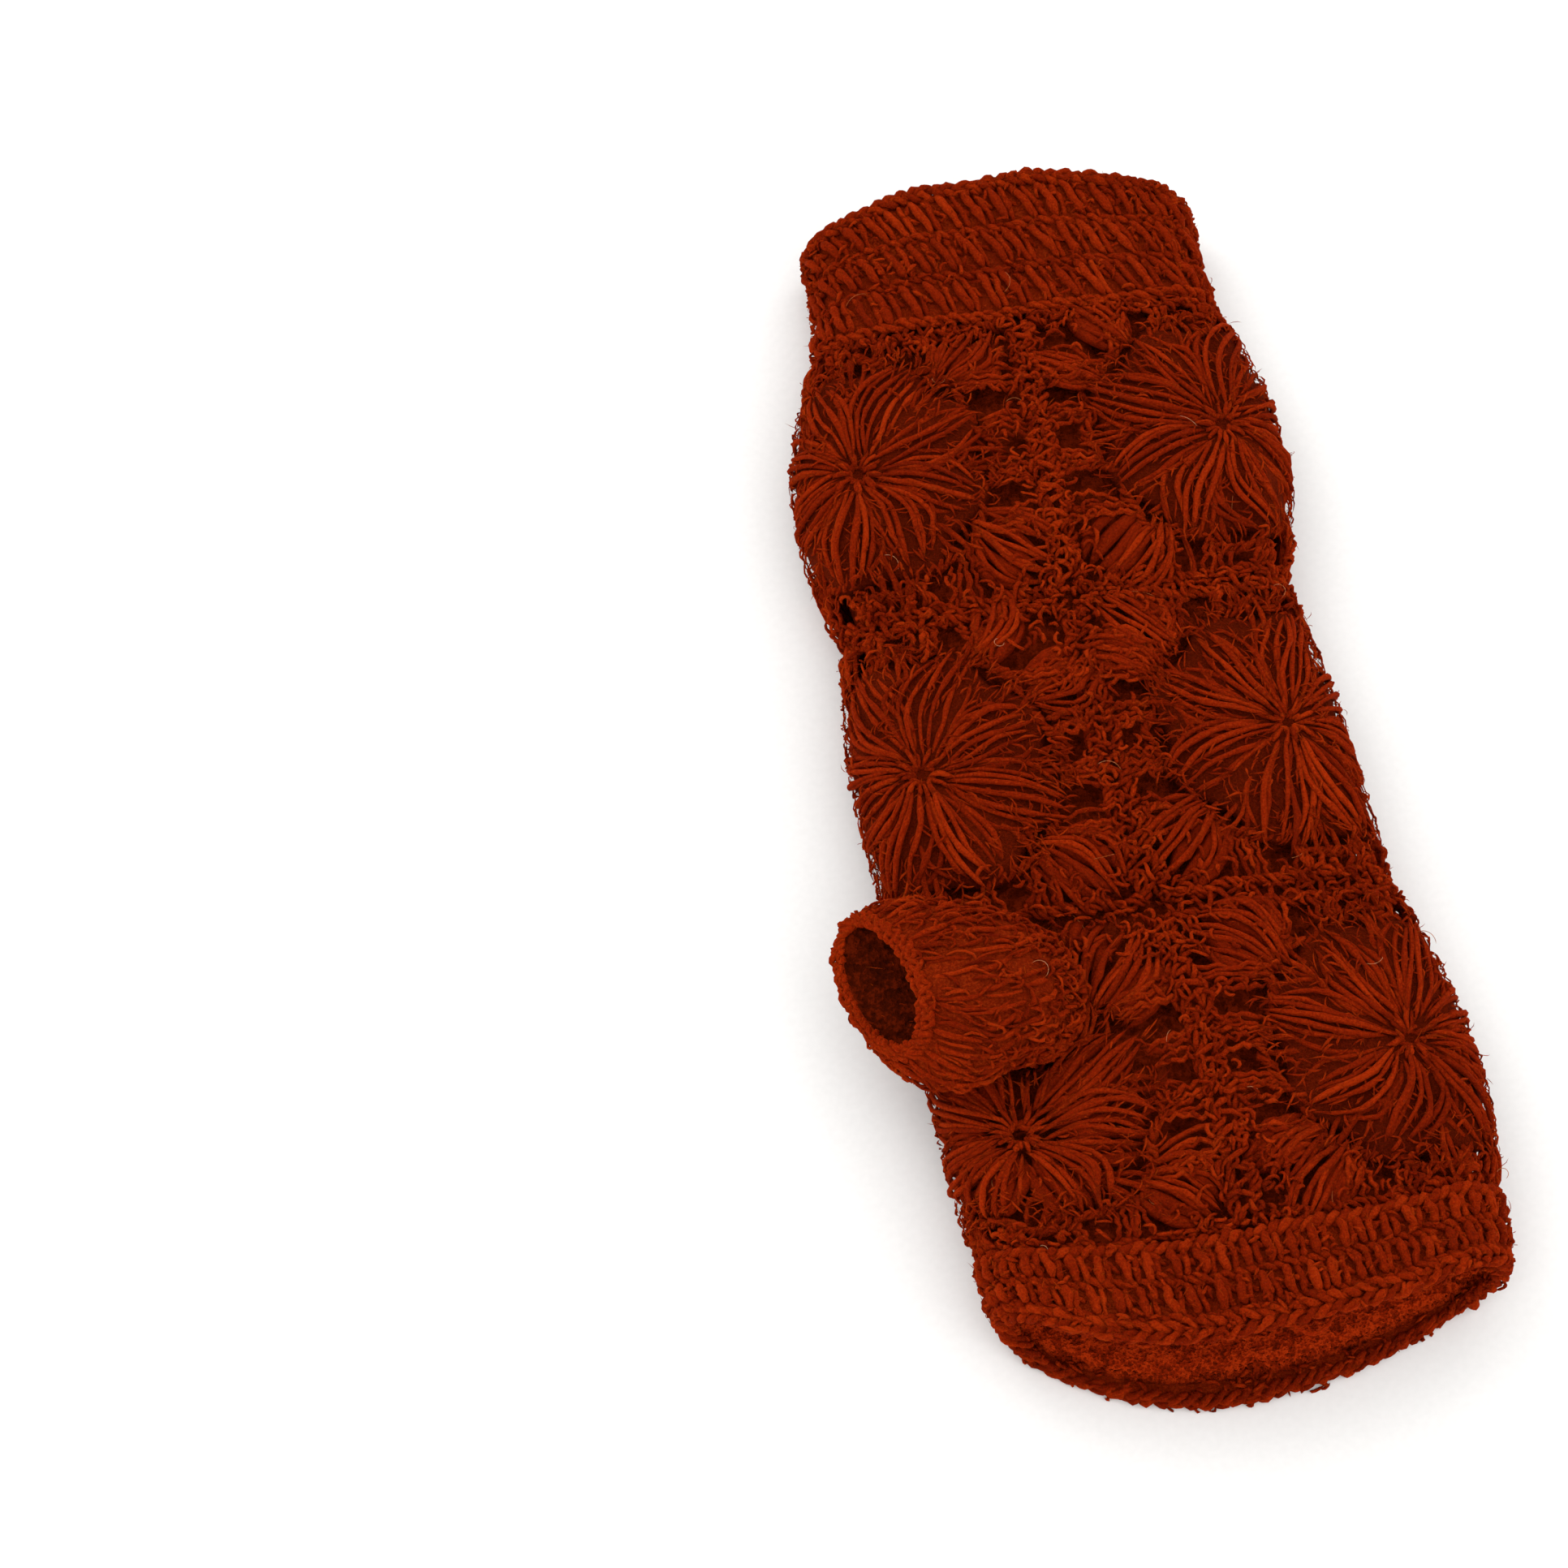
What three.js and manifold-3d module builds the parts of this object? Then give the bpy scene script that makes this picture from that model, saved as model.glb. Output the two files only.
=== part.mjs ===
// Fingerless crochet glove for a right hand, lying palm up with its thumb sleeve to the left.
// A tube of flower squares, three around and three along, runs between a wrist cuff and a finger band.
// A fleece lining stands inside it, and a plain thumb sleeve rises through a hole in the palm.
// Lengths are in millimetres, +Z is up, +Y runs from the finger end to the wrist end.
import * as THREE from "three";
import { mergeVertices } from "three/addons/utils/BufferGeometryUtils.js";
import Module from "manifold-3d";

// Driving dimensions of the glove as it lies.
const bandDepth = 21; // finger band, two rounds and a bound-off edge
const squareDepth = 67.5; // one flower square, along the glove
const cuffDepth = 35; // wrist cuff, three rounds of tall stitches
const handWidth = 98; // across the glove at the palm
const wristWidth = 84; // across the cuff
const lyingHeight = 22; // thickness of the lying glove at the palm
const crownHeight = 2.4; // how far the palm swells above a flat lay
const crochetWall = 4; // from the top of a petal to the back of its square
const cuffWall = 3.4;
const bandWall = 3.6;
const backSag = 0.4; // the back's facets are flatter than the bend, so their corners stand this far out
const fleeceWall = 1.5;
const fleeceGap = 1.8; // air between the squares and the lining
const stitchedGap = 0.5; // between the lining and the cuff or band that it is sewn to
const seamGap = 0.6; // between neighbouring squares, and between them and the cuff or band
const fleeceInset = 4; // how far the lining stays back from both mouths
const fleeceTurn = 7; // how far past the squares it is sewn
const floorFlat = 0.6; // how far petals are pressed flat where the glove rests

// The flower in each square.
const eyeRadius = 3.2;
const petalFoot = 7.5; // where the petals rise from the ring round the eye
const petalReach = 26;
const grooveDepth = 1.7; // valley between two petals
const sideMeshDepth = 1.8; // the plain mesh beyond the petals lies this far down
const cornerPuffDepth = 0.4;
const cornerPuffEdge = 3; // how sharply the corner puffs rise out of the plain mesh
const puffPlace = 0.6; // share of the way from the petals' ends to the square's edge where they are highest
const eyelet = 2.2; // half the width of an opening between two joined squares
const thumbSquareShift = -8; // the flower under the thumb sits this far nearer the fingers

// Rounds of stitches in the cuff and the band.
const cuffRounds = 3;
const bandRounds = 2;
const roundGroove = 1.2;
const ridgeDepth = 0.2; // the ridges' crests lie this far down
const ridgeFrom = 0.25; // a ridge's crest is between these shares of its round
const ridgeTo = 0.75;
const boundEdge = 5; // thickness of the band's bound-off edge
const lipRoll = 0.4; // share of the bound-off edge that rolls inwards
const chainEdge = 2.5; // the cuff's thin foundation chain

// The thumb sleeve.
const thumbFromFingers = 73.6; // from the finger end to the middle of the sleeve's root
const thumbFromMiddle = 30.8; // from the glove's middle to the middle of the sleeve's root
const thumbWidth = 37; // the sleeve's size along the glove
const thumbSpan = 25.8; // its size from its lower side to its upper side
const thumbRun = 27.4; // how far the mouth's middle stands left of the root's middle
const thumbSlant = 3; // how much less far left the mouth's finger side stands than its wrist side
const thumbRise = 5.8; // how far the sleeve's middle arches above the palm
const thumbTilt = 47; // degrees that the mouth leans back from lying flat
const thumbLean = 8; // how far the mouth's middle would lie nearer the wrist than the root's
const thumbSkew = 3.5; // how far the mouth's lower lip is pulled towards the wrist
const thumbWall = 3.6;
const thumbFit = 0.6; // clearance of the sleeve in the palm's hole

// Numbers of stitches and facets.
const columns = ["right", "back", "thumb_side"];
const rows = ["knuckle", "palm", "wrist"];
const petals = 8;
const spokesPerPetal = 4;
const stepsAround = 36;
const liningSteps = 10;
const sleeveSteps = 24;
const backSteps = 4;

const length = bandDepth + rows.length * squareDepth + cuffDepth;
const liningDepth = crochetWall + fleeceGap;

// Cross-sections of the lying tube. at: share of the length from the finger end; middle: sideways shift as a
// share of handWidth; width: share of the size named in of; height and crown: shares of lyingHeight and
// crownHeight.
const sections = [
  { at: 0.0, middle: 0.01, width: 0.98, of: handWidth, height: 1.12, crown: 1.3 },
  { at: 0.08, middle: 0.012, width: 1.01, of: handWidth, height: 1.06, crown: 1.2 },
  { at: 0.17, middle: 0.014, width: 1.03, of: handWidth, height: 1.0, crown: 1.1 },
  { at: 0.26, middle: 0.0, width: 1.02, of: handWidth, height: 1.0, crown: 1.0 },
  { at: 0.37, middle: -0.035, width: 0.99, of: handWidth, height: 1.0, crown: 1.0 },
  { at: 0.5, middle: -0.058, width: 0.975, of: handWidth, height: 0.98, crown: 0.9 },
  { at: 0.6, middle: -0.058, width: 0.955, of: handWidth, height: 0.98, crown: 0.9 },
  { at: 0.69, middle: -0.054, width: 1.01, of: handWidth, height: 1.0, crown: 1.0 },
  { at: 0.77, middle: -0.05, width: 1.0, of: handWidth, height: 0.98, crown: 0.8 },
  { at: 0.9, middle: -0.032, width: 1.0, of: wristWidth, height: 0.92, crown: 0.5 },
  { at: 1.0, middle: -0.028, width: 1.0, of: wristWidth, height: 0.9, crown: 0.4 },
];

// Soft dents in the palm. across: share of half the width; at: share of the length; depth: share of
// crownHeight; spread: share of handWidth.
const dents = [
  { across: 0.05, at: 0.36, depth: 0.85, spread: 0.17 },
  { across: -0.1, at: 0.6, depth: 0.6, spread: 0.15 },
  { across: 0.5, at: 0.62, depth: 0.5, spread: 0.13 },
  { across: 0.0, at: 0.86, depth: 0.5, spread: 0.2 },
  { across: 0.5, at: 0.14, depth: 0.6, spread: 0.14 },
];

// How the two ends curve, in millimetres. lip: the lower layer reaches past the upper one by twice this;
// thumb and far: how far the folded corners draw back; fade: how far in from the end the curve is felt.
// thumbEdge and farEdge: how sharply the ends bend towards those corners.
const fingerEnd = { lip: 3.4, thumb: 15, thumbEdge: 4, far: 10, farEdge: 2, fade: 62 };
const wristEnd = { lip: 1.2, thumb: 9, thumbEdge: 4, far: 11, farEdge: 4, fade: 50 };

const { clamp, lerp, degToRad } = THREE.MathUtils;

const sized = sections.map((section) => ({
  at: section.at * length,
  middle: section.middle * handWidth,
  width: section.width * section.of,
  height: section.height * lyingHeight,
  crown: section.crown * crownHeight,
}));

// The slope of one column of the table at a row, from the rows beside it.
function slopeAt(row, column) {
  const before = sized[Math.max(0, row - 1)];
  const after = sized[Math.min(sized.length - 1, row + 1)];
  return (after[column] - before[column]) / (after.at - before.at);
}

// The tube's cross-section at a distance from the finger end, on a smooth curve through the table's rows.
function sectionAt(along) {
  const at = clamp(along, 0, length);
  const next = Math.max(1, sized.findIndex((section) => section.at >= at));
  const a = sized[next - 1];
  const b = sized[next];
  const span = b.at - a.at;
  const t = (at - a.at) / span;
  const column = (name) => {
    const leaving = slopeAt(next - 1, name) * span;
    const arriving = slopeAt(next, name) * span;
    const rise = t * t * (3 - 2 * t);
    return lerp(a[name], b[name], rise) + t * (1 - t) * ((1 - t) * leaving - t * arriving);
  };
  return { middle: column("middle"), width: column("width"), height: column("height"), crown: column("crown") };
}

// How far an end's curve moves a point inwards. turn is the share of the way round, 0 at the palm's middle.
function drawnIn(end, turn, distance) {
  const felt = clamp(1 - distance / end.fade, 0, 1) ** 2;
  const aside = Math.sin(2 * Math.PI * turn);
  const corner = aside > 0 ? end.far * aside ** end.farEdge : end.thumb * (-aside) ** end.thumbEdge;
  return felt * (corner + end.lip * Math.cos(2 * Math.PI * turn));
}

// How far the palm swells or sinks at a point of its upper layer.
function palmLift(x, along, share, section) {
  let lift = section.crown;
  for (const dent of dents) {
    const aside = x - (dent.across * section.width) / 2;
    const away = Math.hypot(aside, along - dent.at * length) / (dent.spread * handWidth);
    lift -= dent.depth * crownHeight * Math.exp(-away * away);
  }
  return lift * (1 - share * share) ** 2;
}

// The point at a share of the way round, a distance along, and a depth below the tube's outer skin.
function place(turn, along, depth) {
  const section = sectionAt(along);
  const radius = section.height / 2;
  const flat = section.width / 2 - radius;
  const around = 4 * flat + 2 * Math.PI * radius;
  const wrapped = turn - Math.round(turn);
  const run = Math.abs(wrapped) * around;
  const bend = clamp((run - flat) / radius, 0, Math.PI);
  const past = Math.max(0, run - flat - Math.PI * radius);
  const across = Math.min(run, flat) + (radius - depth) * Math.sin(bend) - past;
  const x = Math.sign(wrapped) * across;
  const pressed = (floorFlat * (1 - Math.cos(bend))) / 2;
  const z = Math.max(0, radius + (radius - depth) * Math.cos(bend) - pressed);
  const lift = run < flat ? palmLift(x, along, run / flat, section) : 0;
  const y = along + drawnIn(fingerEnd, wrapped, along) - drawnIn(wristEnd, wrapped, length - along);
  return new THREE.Vector3(x + section.middle, y, z + lift);
}

// A closed shell from a ring of stations, each with a closed profile of as many points.
function loopShell(stations, profilePoints, pointAt) {
  const positions = [];
  const index = [];
  for (let i = 0; i < stations; i++) {
    for (let j = 0; j < profilePoints; j++) {
      positions.push(...pointAt(i, j).toArray());
      const nextI = ((i + 1) % stations) * profilePoints;
      const nextJ = (j + 1) % profilePoints;
      const a = i * profilePoints + j;
      const c = nextI + nextJ;
      index.push(a, nextI + j, c, a, c, i * profilePoints + nextJ);
    }
  }
  const shell = new THREE.BufferGeometry();
  shell.setAttribute("position", new THREE.Float32BufferAttribute(positions, 3));
  shell.setIndex(index);
  return shell;
}

// A band of the tube, open at both ends. The profile goes along its outer side and back along its inner one.
function tubeBand(outer, inner) {
  const profile = [...outer, ...inner];
  return loopShell(stepsAround, profile.length, (i, j) =>
    place(i / stepsAround, profile[j].along, profile[j].depth));
}

// Ridges of stitches between two places along the glove, with a groove where two rounds meet.
function stitchRidges(from, to, rounds) {
  const pitch = (to - from) / rounds;
  const ridges = [];
  for (let k = 0; k < rounds; k++) {
    ridges.push({ along: from + k * pitch, depth: roundGroove });
    ridges.push({ along: from + (k + ridgeFrom) * pitch, depth: ridgeDepth });
    ridges.push({ along: from + (k + ridgeTo) * pitch, depth: ridgeDepth });
  }
  return ridges;
}

function fingerBand() {
  const end = bandDepth - seamGap / 2;
  const outer = [
    { along: 0, depth: bandWall / 2 },
    { along: boundEdge * ridgeFrom, depth: ridgeDepth },
    { along: boundEdge * ridgeTo, depth: ridgeDepth },
    ...stitchRidges(boundEdge, end, bandRounds),
    { along: end, depth: roundGroove },
  ];
  const inner = [
    { along: end, depth: bandWall },
    { along: boundEdge * lipRoll, depth: bandWall },
  ];
  return tubeBand(outer, inner);
}

function wristCuff() {
  const from = length - cuffDepth + seamGap / 2;
  const outer = [
    ...stitchRidges(from, length - chainEdge, cuffRounds),
    { along: length - chainEdge, depth: roundGroove },
    { along: length, depth: roundGroove },
  ];
  const inner = [
    { along: length, depth: cuffWall },
    { along: length - cuffDepth + fleeceTurn, depth: cuffWall },
    { along: from, depth: cuffWall },
  ];
  return tubeBand(outer, inner);
}

// The lining keeps clear of the squares and comes out to the band and the cuff, where it is sewn.
function fleeceLining() {
  const squaresEnd = length - cuffDepth;
  const outer = [
    { along: fleeceInset, depth: bandWall + stitchedGap },
    { along: bandDepth - fleeceTurn, depth: bandWall + stitchedGap },
  ];
  for (let k = 0; k <= liningSteps; k++) {
    outer.push({ along: lerp(bandDepth, squaresEnd, k / liningSteps), depth: liningDepth });
  }
  for (const along of [squaresEnd + fleeceTurn, length - cuffDepth / 2, length - fleeceInset]) {
    outer.push({ along, depth: cuffWall + stitchedGap });
  }
  const inner = outer.toReversed().map(({ along, depth }) => ({ along, depth: depth + fleeceWall }));
  return tubeBand(outer, inner);
}

// The flower's relief from its eye out to the petals' ends. depth: share of sideMeshDepth at a petal's middle;
// groove: share of grooveDepth by which the valley beside it is deeper.
const flowerRings = [
  { reach: eyeRadius, depth: 1.1, groove: 0 },
  { reach: petalFoot, depth: 0.55, groove: 0.4 },
  { reach: lerp(petalFoot, petalReach, 0.42), depth: 0, groove: 0.9 },
  { reach: lerp(petalFoot, petalReach, 0.82), depth: 0.15, groove: 1 },
  { reach: petalReach, depth: 1.1, groove: 0 },
];

// One flower square: petals round an open eye, a puff in each corner, and eyelets along its seams.
function flowerSquare(row, column) {
  const spokes = petals * spokesPerPetal;
  const centreTurn = (column + 0.5) / columns.length;
  const centreAlong = bandDepth + (row + 0.5) * squareDepth;
  const { width, height } = sectionAt(centreAlong);
  const halfTurn = 0.5 / columns.length;
  const halfAcross = (2 * (width - height) + Math.PI * height) * halfTurn;
  const halfAlong = squareDepth / 2;
  const shift = columns[column] === "thumb_side" && row === 0 ? thumbSquareShift : 0;

  // Steps of equal length round a square of half-side 1, from the middle of its first side.
  const unitStep = (eighths) => {
    const from = Math.abs(eighths % 8);
    return clamp(2 - Math.min(from, 8 - from), -1, 1);
  };
  // The end of a spoke on the square's edge, drawn in for its seam, and further at every other spoke.
  const edgePoint = (i) => {
    const unit = new THREE.Vector2(unitStep((8 * i) / spokes), -unitStep((8 * i) / spokes - 2));
    const seam = seamGap / 2 + (i % 2 === 1 ? eyelet : 0);
    const drawn = (share) => (Math.abs(share) === 1 ? share * seam : 0);
    return new THREE.Vector2(unit.x * halfAcross - drawn(unit.x), unit.y * halfAlong - drawn(unit.y));
  };
  const flowerPoint = (i, reach) => {
    const angle = (-2 * Math.PI * i) / spokes;
    return new THREE.Vector2(Math.cos(angle), Math.sin(angle)).multiplyScalar(reach);
  };
  const cornerness = (i) => Math.abs(Math.sin((4 * Math.PI * i) / spokes)) ** cornerPuffEdge;
  const isGroove = (i) => i % spokesPerPetal === 0;

  const edgeRing = flowerRings.length + 1;
  return loopShell(spokes, edgeRing + 2 + backSteps, (i, j) => {
    const edge = edgePoint(i);
    let point = edge;
    let depth = sideMeshDepth;
    if (j < flowerRings.length) {
      point = flowerPoint(i, flowerRings[j].reach);
      depth = flowerRings[j].depth * sideMeshDepth + (isGroove(i) ? flowerRings[j].groove * grooveDepth : 0);
    } else if (j < edgeRing) {
      point = flowerPoint(i, petalReach).lerp(edge, puffPlace);
      depth = lerp(sideMeshDepth, cornerPuffDepth, cornerness(i));
    } else if (j > edgeRing) {
      point = edge.clone().lerp(flowerPoint(i, eyeRadius), (j - edgeRing - 1) / backSteps);
      depth = j === edgeRing + 1 || j === edgeRing + 1 + backSteps ? crochetWall : crochetWall - backSag;
    }
    const felt = 1 - point.length() / edge.length();
    return place(centreTurn + (point.x / halfAcross) * halfTurn, centreAlong + point.y + shift * felt, depth);
  });
}

// Rings of the thumb sleeve from its root to its mouth. Each value is a share of the size named like it:
// run, rise, lean and skew of thumbRun and so on, span and wide of thumbSpan and thumbWidth. lift is the
// share of the wall by which the lower side's inner face is lifted, where that side runs almost level.
const sleeveRings = [
  { run: 0.0, rise: -0.8, tilt: 0.0, span: 0.87, wide: 0.71, lean: 0.0, skew: 0.0, lift: 0.0 },
  { run: 0.0, rise: 0.3, tilt: 0.05, span: 0.91, wide: 0.74, lean: 0.0, skew: 0.0, lift: 0.0 },
  { run: 0.15, rise: 0.74, tilt: 0.29, span: 0.99, wide: 0.82, lean: 0.08, skew: 0.2, lift: 0.3 },
  { run: 0.35, rise: 0.94, tilt: 0.5, span: 1.04, wide: 0.92, lean: 0.16, skew: 0.5, lift: 0.25 },
  { run: 0.68, rise: 0.87, tilt: 0.76, span: 1.03, wide: 1.05, lean: 0.21, skew: 0.8, lift: 0.35 },
  { run: 1.0, rise: 0.5, tilt: 1.0, span: 0.84, wide: 0.81, lean: 0.71, skew: 1.0, lift: 0.4 },
];

// The middle of the sleeve's root, on the palm.
function sleeveRoot() {
  const { middle, height } = sectionAt(thumbFromFingers);
  return new THREE.Vector3(middle - thumbFromMiddle, thumbFromFingers, height);
}

// A point on the sleeve, in from its outer skin. angle 0 is the side towards the glove's edge.
function sleevePoint(ring, angle, inset) {
  const tilt = degToRad(ring.tilt * thumbTilt);
  const out = ((ring.span * thumbSpan) / 2 - inset) * Math.cos(angle);
  const wide = ((ring.wide * thumbWidth) / 2 - inset) * Math.sin(angle);
  const heldBack = (thumbSlant * (1 - Math.sin(angle))) / 2;
  const lifted = (ring.lift * inset * (1 + Math.cos(angle))) / 2;
  return sleeveRoot().add(new THREE.Vector3(
    -ring.run * (thumbRun - heldBack) - out * Math.cos(tilt),
    ring.lean * thumbLean + ring.skew * thumbSkew * Math.cos(angle) + wide,
    ring.rise * thumbRise - out * Math.sin(tilt) + lifted,
  ));
}

function thumbSleeve() {
  const outer = sleeveRings.map((ring) => ({ ring, inset: 0 }));
  const inner = sleeveRings.toReversed().map((ring) => ({ ring, inset: thumbWall }));
  const profile = [...outer, ...inner];
  return loopShell(sleeveSteps, profile.length, (i, j) =>
    sleevePoint(profile[j].ring, (-2 * Math.PI * i) / sleeveSteps, profile[j].inset));
}

// An upright oval plug a clearance wider than the sleeve's root. It reaches down past the upper layer's
// lining, by as much again as the fleece is thick, into the hand's hollow.
function rootPlug() {
  const root = sleeveRoot();
  const ring = sleeveRings[1];
  const bottom = root.z - liningDepth - 2 * fleeceWall;
  const plug = new THREE.CylinderGeometry(1, 1, lyingHeight, sleeveSteps);
  plug.rotateX(Math.PI / 2);
  plug.scale((ring.span * thumbSpan) / 2 + thumbFit, (ring.wide * thumbWidth) / 2 + thumbFit, 1);
  plug.translate(root.x, root.y, bottom + lyingHeight / 2);
  plug.deleteAttribute("normal");
  plug.deleteAttribute("uv");
  return mergeVertices(plug);
}

const wasm = await Module();
wasm.setup();

function toSolid(geometry) {
  return new wasm.Manifold(new wasm.Mesh({
    numProp: 3,
    vertProperties: new Float32Array(geometry.attributes.position.array),
    triVerts: new Uint32Array(geometry.index.array),
  }));
}

// What is left of a shell once the sleeve's hole is cut through it.
function withThumbHole(geometry) {
  const { vertProperties, triVerts } = toSolid(geometry).subtract(toSolid(rootPlug())).getMesh();
  const holed = new THREE.BufferGeometry();
  holed.setAttribute("position", new THREE.BufferAttribute(vertProperties, 3));
  holed.setIndex(new THREE.BufferAttribute(triVerts, 1));
  return holed;
}

const glove = new THREE.Group();

function addPiece(name, geometry, color, roughness) {
  geometry.computeVertexNormals();
  const mesh = new THREE.Mesh(geometry, new THREE.MeshStandardMaterial({ color, roughness, metalness: 0 }));
  mesh.name = name;
  glove.add(mesh);
}

const rustWool = 0x7e1e04;
const plainWool = 0x741a05;
const rustFleece = 0x661604;

addPiece("lining", withThumbHole(fleeceLining()), rustFleece, 1);
addPiece("finger_band", fingerBand(), plainWool, 0.95);
addPiece("wrist_cuff", wristCuff(), plainWool, 0.95);
rows.forEach((rowName, row) => {
  columns.forEach((columnName, column) => {
    const square = flowerSquare(row, column);
    const whole = columnName === "thumb_side" ? withThumbHole(square) : square;
    addPiece(`square_${columnName}_${rowName}`, whole, rustWool, 0.95);
  });
});
addPiece("thumb_sleeve", thumbSleeve(), plainWool, 0.95);

// The origin is on the floor under the middle of the glove's box.
const box = new THREE.Box3().setFromObject(glove);
const middle = box.getCenter(new THREE.Vector3());
glove.position.set(-middle.x, -middle.y, -box.min.z);

export default glove;
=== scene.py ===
"""Looks of a fingerless crochet glove that lies palm up, its thumb sleeve to the left.

Every round, puff and seam is laid as strands of yarn along the glove's lying form, over a fleece lining.
Lengths in the tables are in millimetres, and points are in metres in the frame of the solids.
"""

import logging
import math
from dataclasses import dataclass, field, replace
from enum import Enum
from typing import Callable, Mapping, Sequence

import bmesh
import bpy
import numpy as np
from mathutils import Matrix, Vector


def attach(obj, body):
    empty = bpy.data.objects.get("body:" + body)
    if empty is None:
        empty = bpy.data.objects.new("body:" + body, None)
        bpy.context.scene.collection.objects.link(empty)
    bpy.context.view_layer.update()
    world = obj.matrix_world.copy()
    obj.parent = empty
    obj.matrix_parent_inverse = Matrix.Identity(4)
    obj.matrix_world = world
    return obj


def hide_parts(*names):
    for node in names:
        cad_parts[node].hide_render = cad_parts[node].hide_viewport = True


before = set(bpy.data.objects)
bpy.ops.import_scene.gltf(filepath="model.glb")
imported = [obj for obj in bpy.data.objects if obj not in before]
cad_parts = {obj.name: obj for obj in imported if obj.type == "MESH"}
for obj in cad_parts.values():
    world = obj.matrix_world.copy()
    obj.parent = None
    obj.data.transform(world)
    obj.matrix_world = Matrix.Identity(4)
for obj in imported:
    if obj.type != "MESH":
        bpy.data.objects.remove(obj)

MM = 0.001
FULL_TURN = 2 * math.pi
log = logging.getLogger("crochet_glove")

Points = np.ndarray
Material = bpy.types.Material
Piece = bpy.types.Object
Socket = bpy.types.NodeSocket


class Column(Enum):
    """The three columns of squares round the hand, by their place in the round."""

    RIGHT = 0
    BACK = 1
    THUMB_SIDE = 2


class Row(Enum):
    """The three rows of squares from the fingers to the wrist."""

    KNUCKLE = 0
    PALM = 1
    WRIST = 2


class Twist(Enum):
    """Which way the plies of a chain wind."""

    S = -1
    Z = 1


# Small helpers


def linear(hex_colour: str) -> tuple[float, float, float, float]:
    """Turns an sRGB hex colour into a linear colour with full alpha.

    Args:
        hex_colour: six hex digits after a hash.

    Returns:
        Red, green, blue and alpha, linear.
    """
    shares = [int(hex_colour[i : i + 2], 16) / 255 for i in (1, 3, 5)]
    return (*(s / 12.92 if s <= 0.04045 else ((s + 0.055) / 1.055) ** 2.4 for s in shares), 1.0)


def arch(t: Points) -> Points:
    """Rises from 0 to 1 and falls back to 0 while t goes from 0 to 1."""
    return np.sin(np.pi * t)


def directions(angle: float) -> tuple[Points, Points]:
    """Gives the unit steps ahead and to the left of a heading in radians."""
    return np.array([math.cos(angle), math.sin(angle)]), np.array([-math.sin(angle), math.cos(angle)])


def strolled(x: float, y: float, heading: Points, step: float) -> tuple[Points, Points]:
    """Walks from a place in equal steps, each with its own heading.

    Args:
        x: where it starts, across.
        y: where it starts, along.
        heading: the direction of each step, in radians.
        step: the length of one.

    Returns:
        The places reached, across and along.
    """
    return x + np.cumsum(np.cos(heading)) * step, y + np.cumsum(np.sin(heading)) * step


def ring(reach: Points, turn: Points, depth: Points | float) -> Points:
    """Gives a path of across, along and depth from reaches and turns in radians."""
    return np.column_stack([reach * np.cos(turn), reach * np.sin(turn), np.zeros(len(turn)) + depth])


def wobble(chance: np.random.Generator, count: int, size: float) -> Points:
    """Gives a smooth random drift along a strand, as handwork has.

    Args:
        chance: the seeded source of chance.
        count: points on the strand.
        size: how far it drifts, in millimetres.

    Returns:
        One offset a point.
    """
    knots = chance.normal(0, size, 4)
    return np.interp(np.linspace(0, 3, count), np.arange(4), knots)


def plied(path: Points, plies: int, offset: float, pitch: float, twist: Twist,
          phase: float = 0.0) -> list[Points]:
    """Winds plies round a path, in surface coordinates.

    Args:
        path: points as across, along and depth, in millimetres.
        plies: how many strands wind round it.
        offset: how far each lies from the path.
        pitch: length of one whole turn.
        twist: which way they wind.
        phase: where the first one starts, in radians.

    Returns:
        One path a ply.
    """
    gone = np.concatenate([[0], np.cumsum(np.linalg.norm(np.diff(path, axis=0), axis=1))])
    heading = np.gradient(path[:, :2], axis=0)
    heading /= np.maximum(np.linalg.norm(heading, axis=1, keepdims=True), 1e-9)
    side = np.stack([-heading[:, 1], heading[:, 0]], axis=1)
    wound = []
    for k in range(plies):
        angle = twist.value * FULL_TURN * gone / pitch + FULL_TURN * k / plies + phase
        ply = path.copy()
        ply[:, :2] += side * (offset * np.cos(angle))[:, None]
        ply[:, 2] += offset * np.sin(angle)
        wound.append(ply)
    return wound


class SmoothTable:
    """A table that is read along a smooth curve through its rows."""

    def __init__(self, at: Sequence[float], values: Sequence[Sequence[float]]) -> None:
        """Keeps the rows and works out each one's slope from its neighbours.

        Args:
            at: where each row stands.
            values: the row's values.
        """
        self.at = np.array(at, float)
        self.values = np.array(values, float)
        rows = np.arange(len(at))
        before, after = np.maximum(rows - 1, 0), np.minimum(rows + 1, len(at) - 1)
        self.slopes = (self.values[after] - self.values[before]) / (self.at[after] - self.at[before])[:, None]

    def read(self, at: Points) -> Points:
        """Reads the table.

        Args:
            at: places, one or many.

        Returns:
            One row of values a place, values last.
        """
        x = np.clip(at, self.at[0], self.at[-1])
        after = np.clip(np.searchsorted(self.at, x, side="left"), 1, len(self.at) - 1)
        before = after - 1
        span = (self.at[after] - self.at[before])[..., None]
        t = ((x - self.at[before]) / span[..., 0])[..., None]
        rise = t * t * (3 - 2 * t)
        straight = self.values[before] + (self.values[after] - self.values[before]) * rise
        bent = (1 - t) * self.slopes[before] * span - t * self.slopes[after] * span
        return straight + t * (1 - t) * bent


# The glove's form


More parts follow.
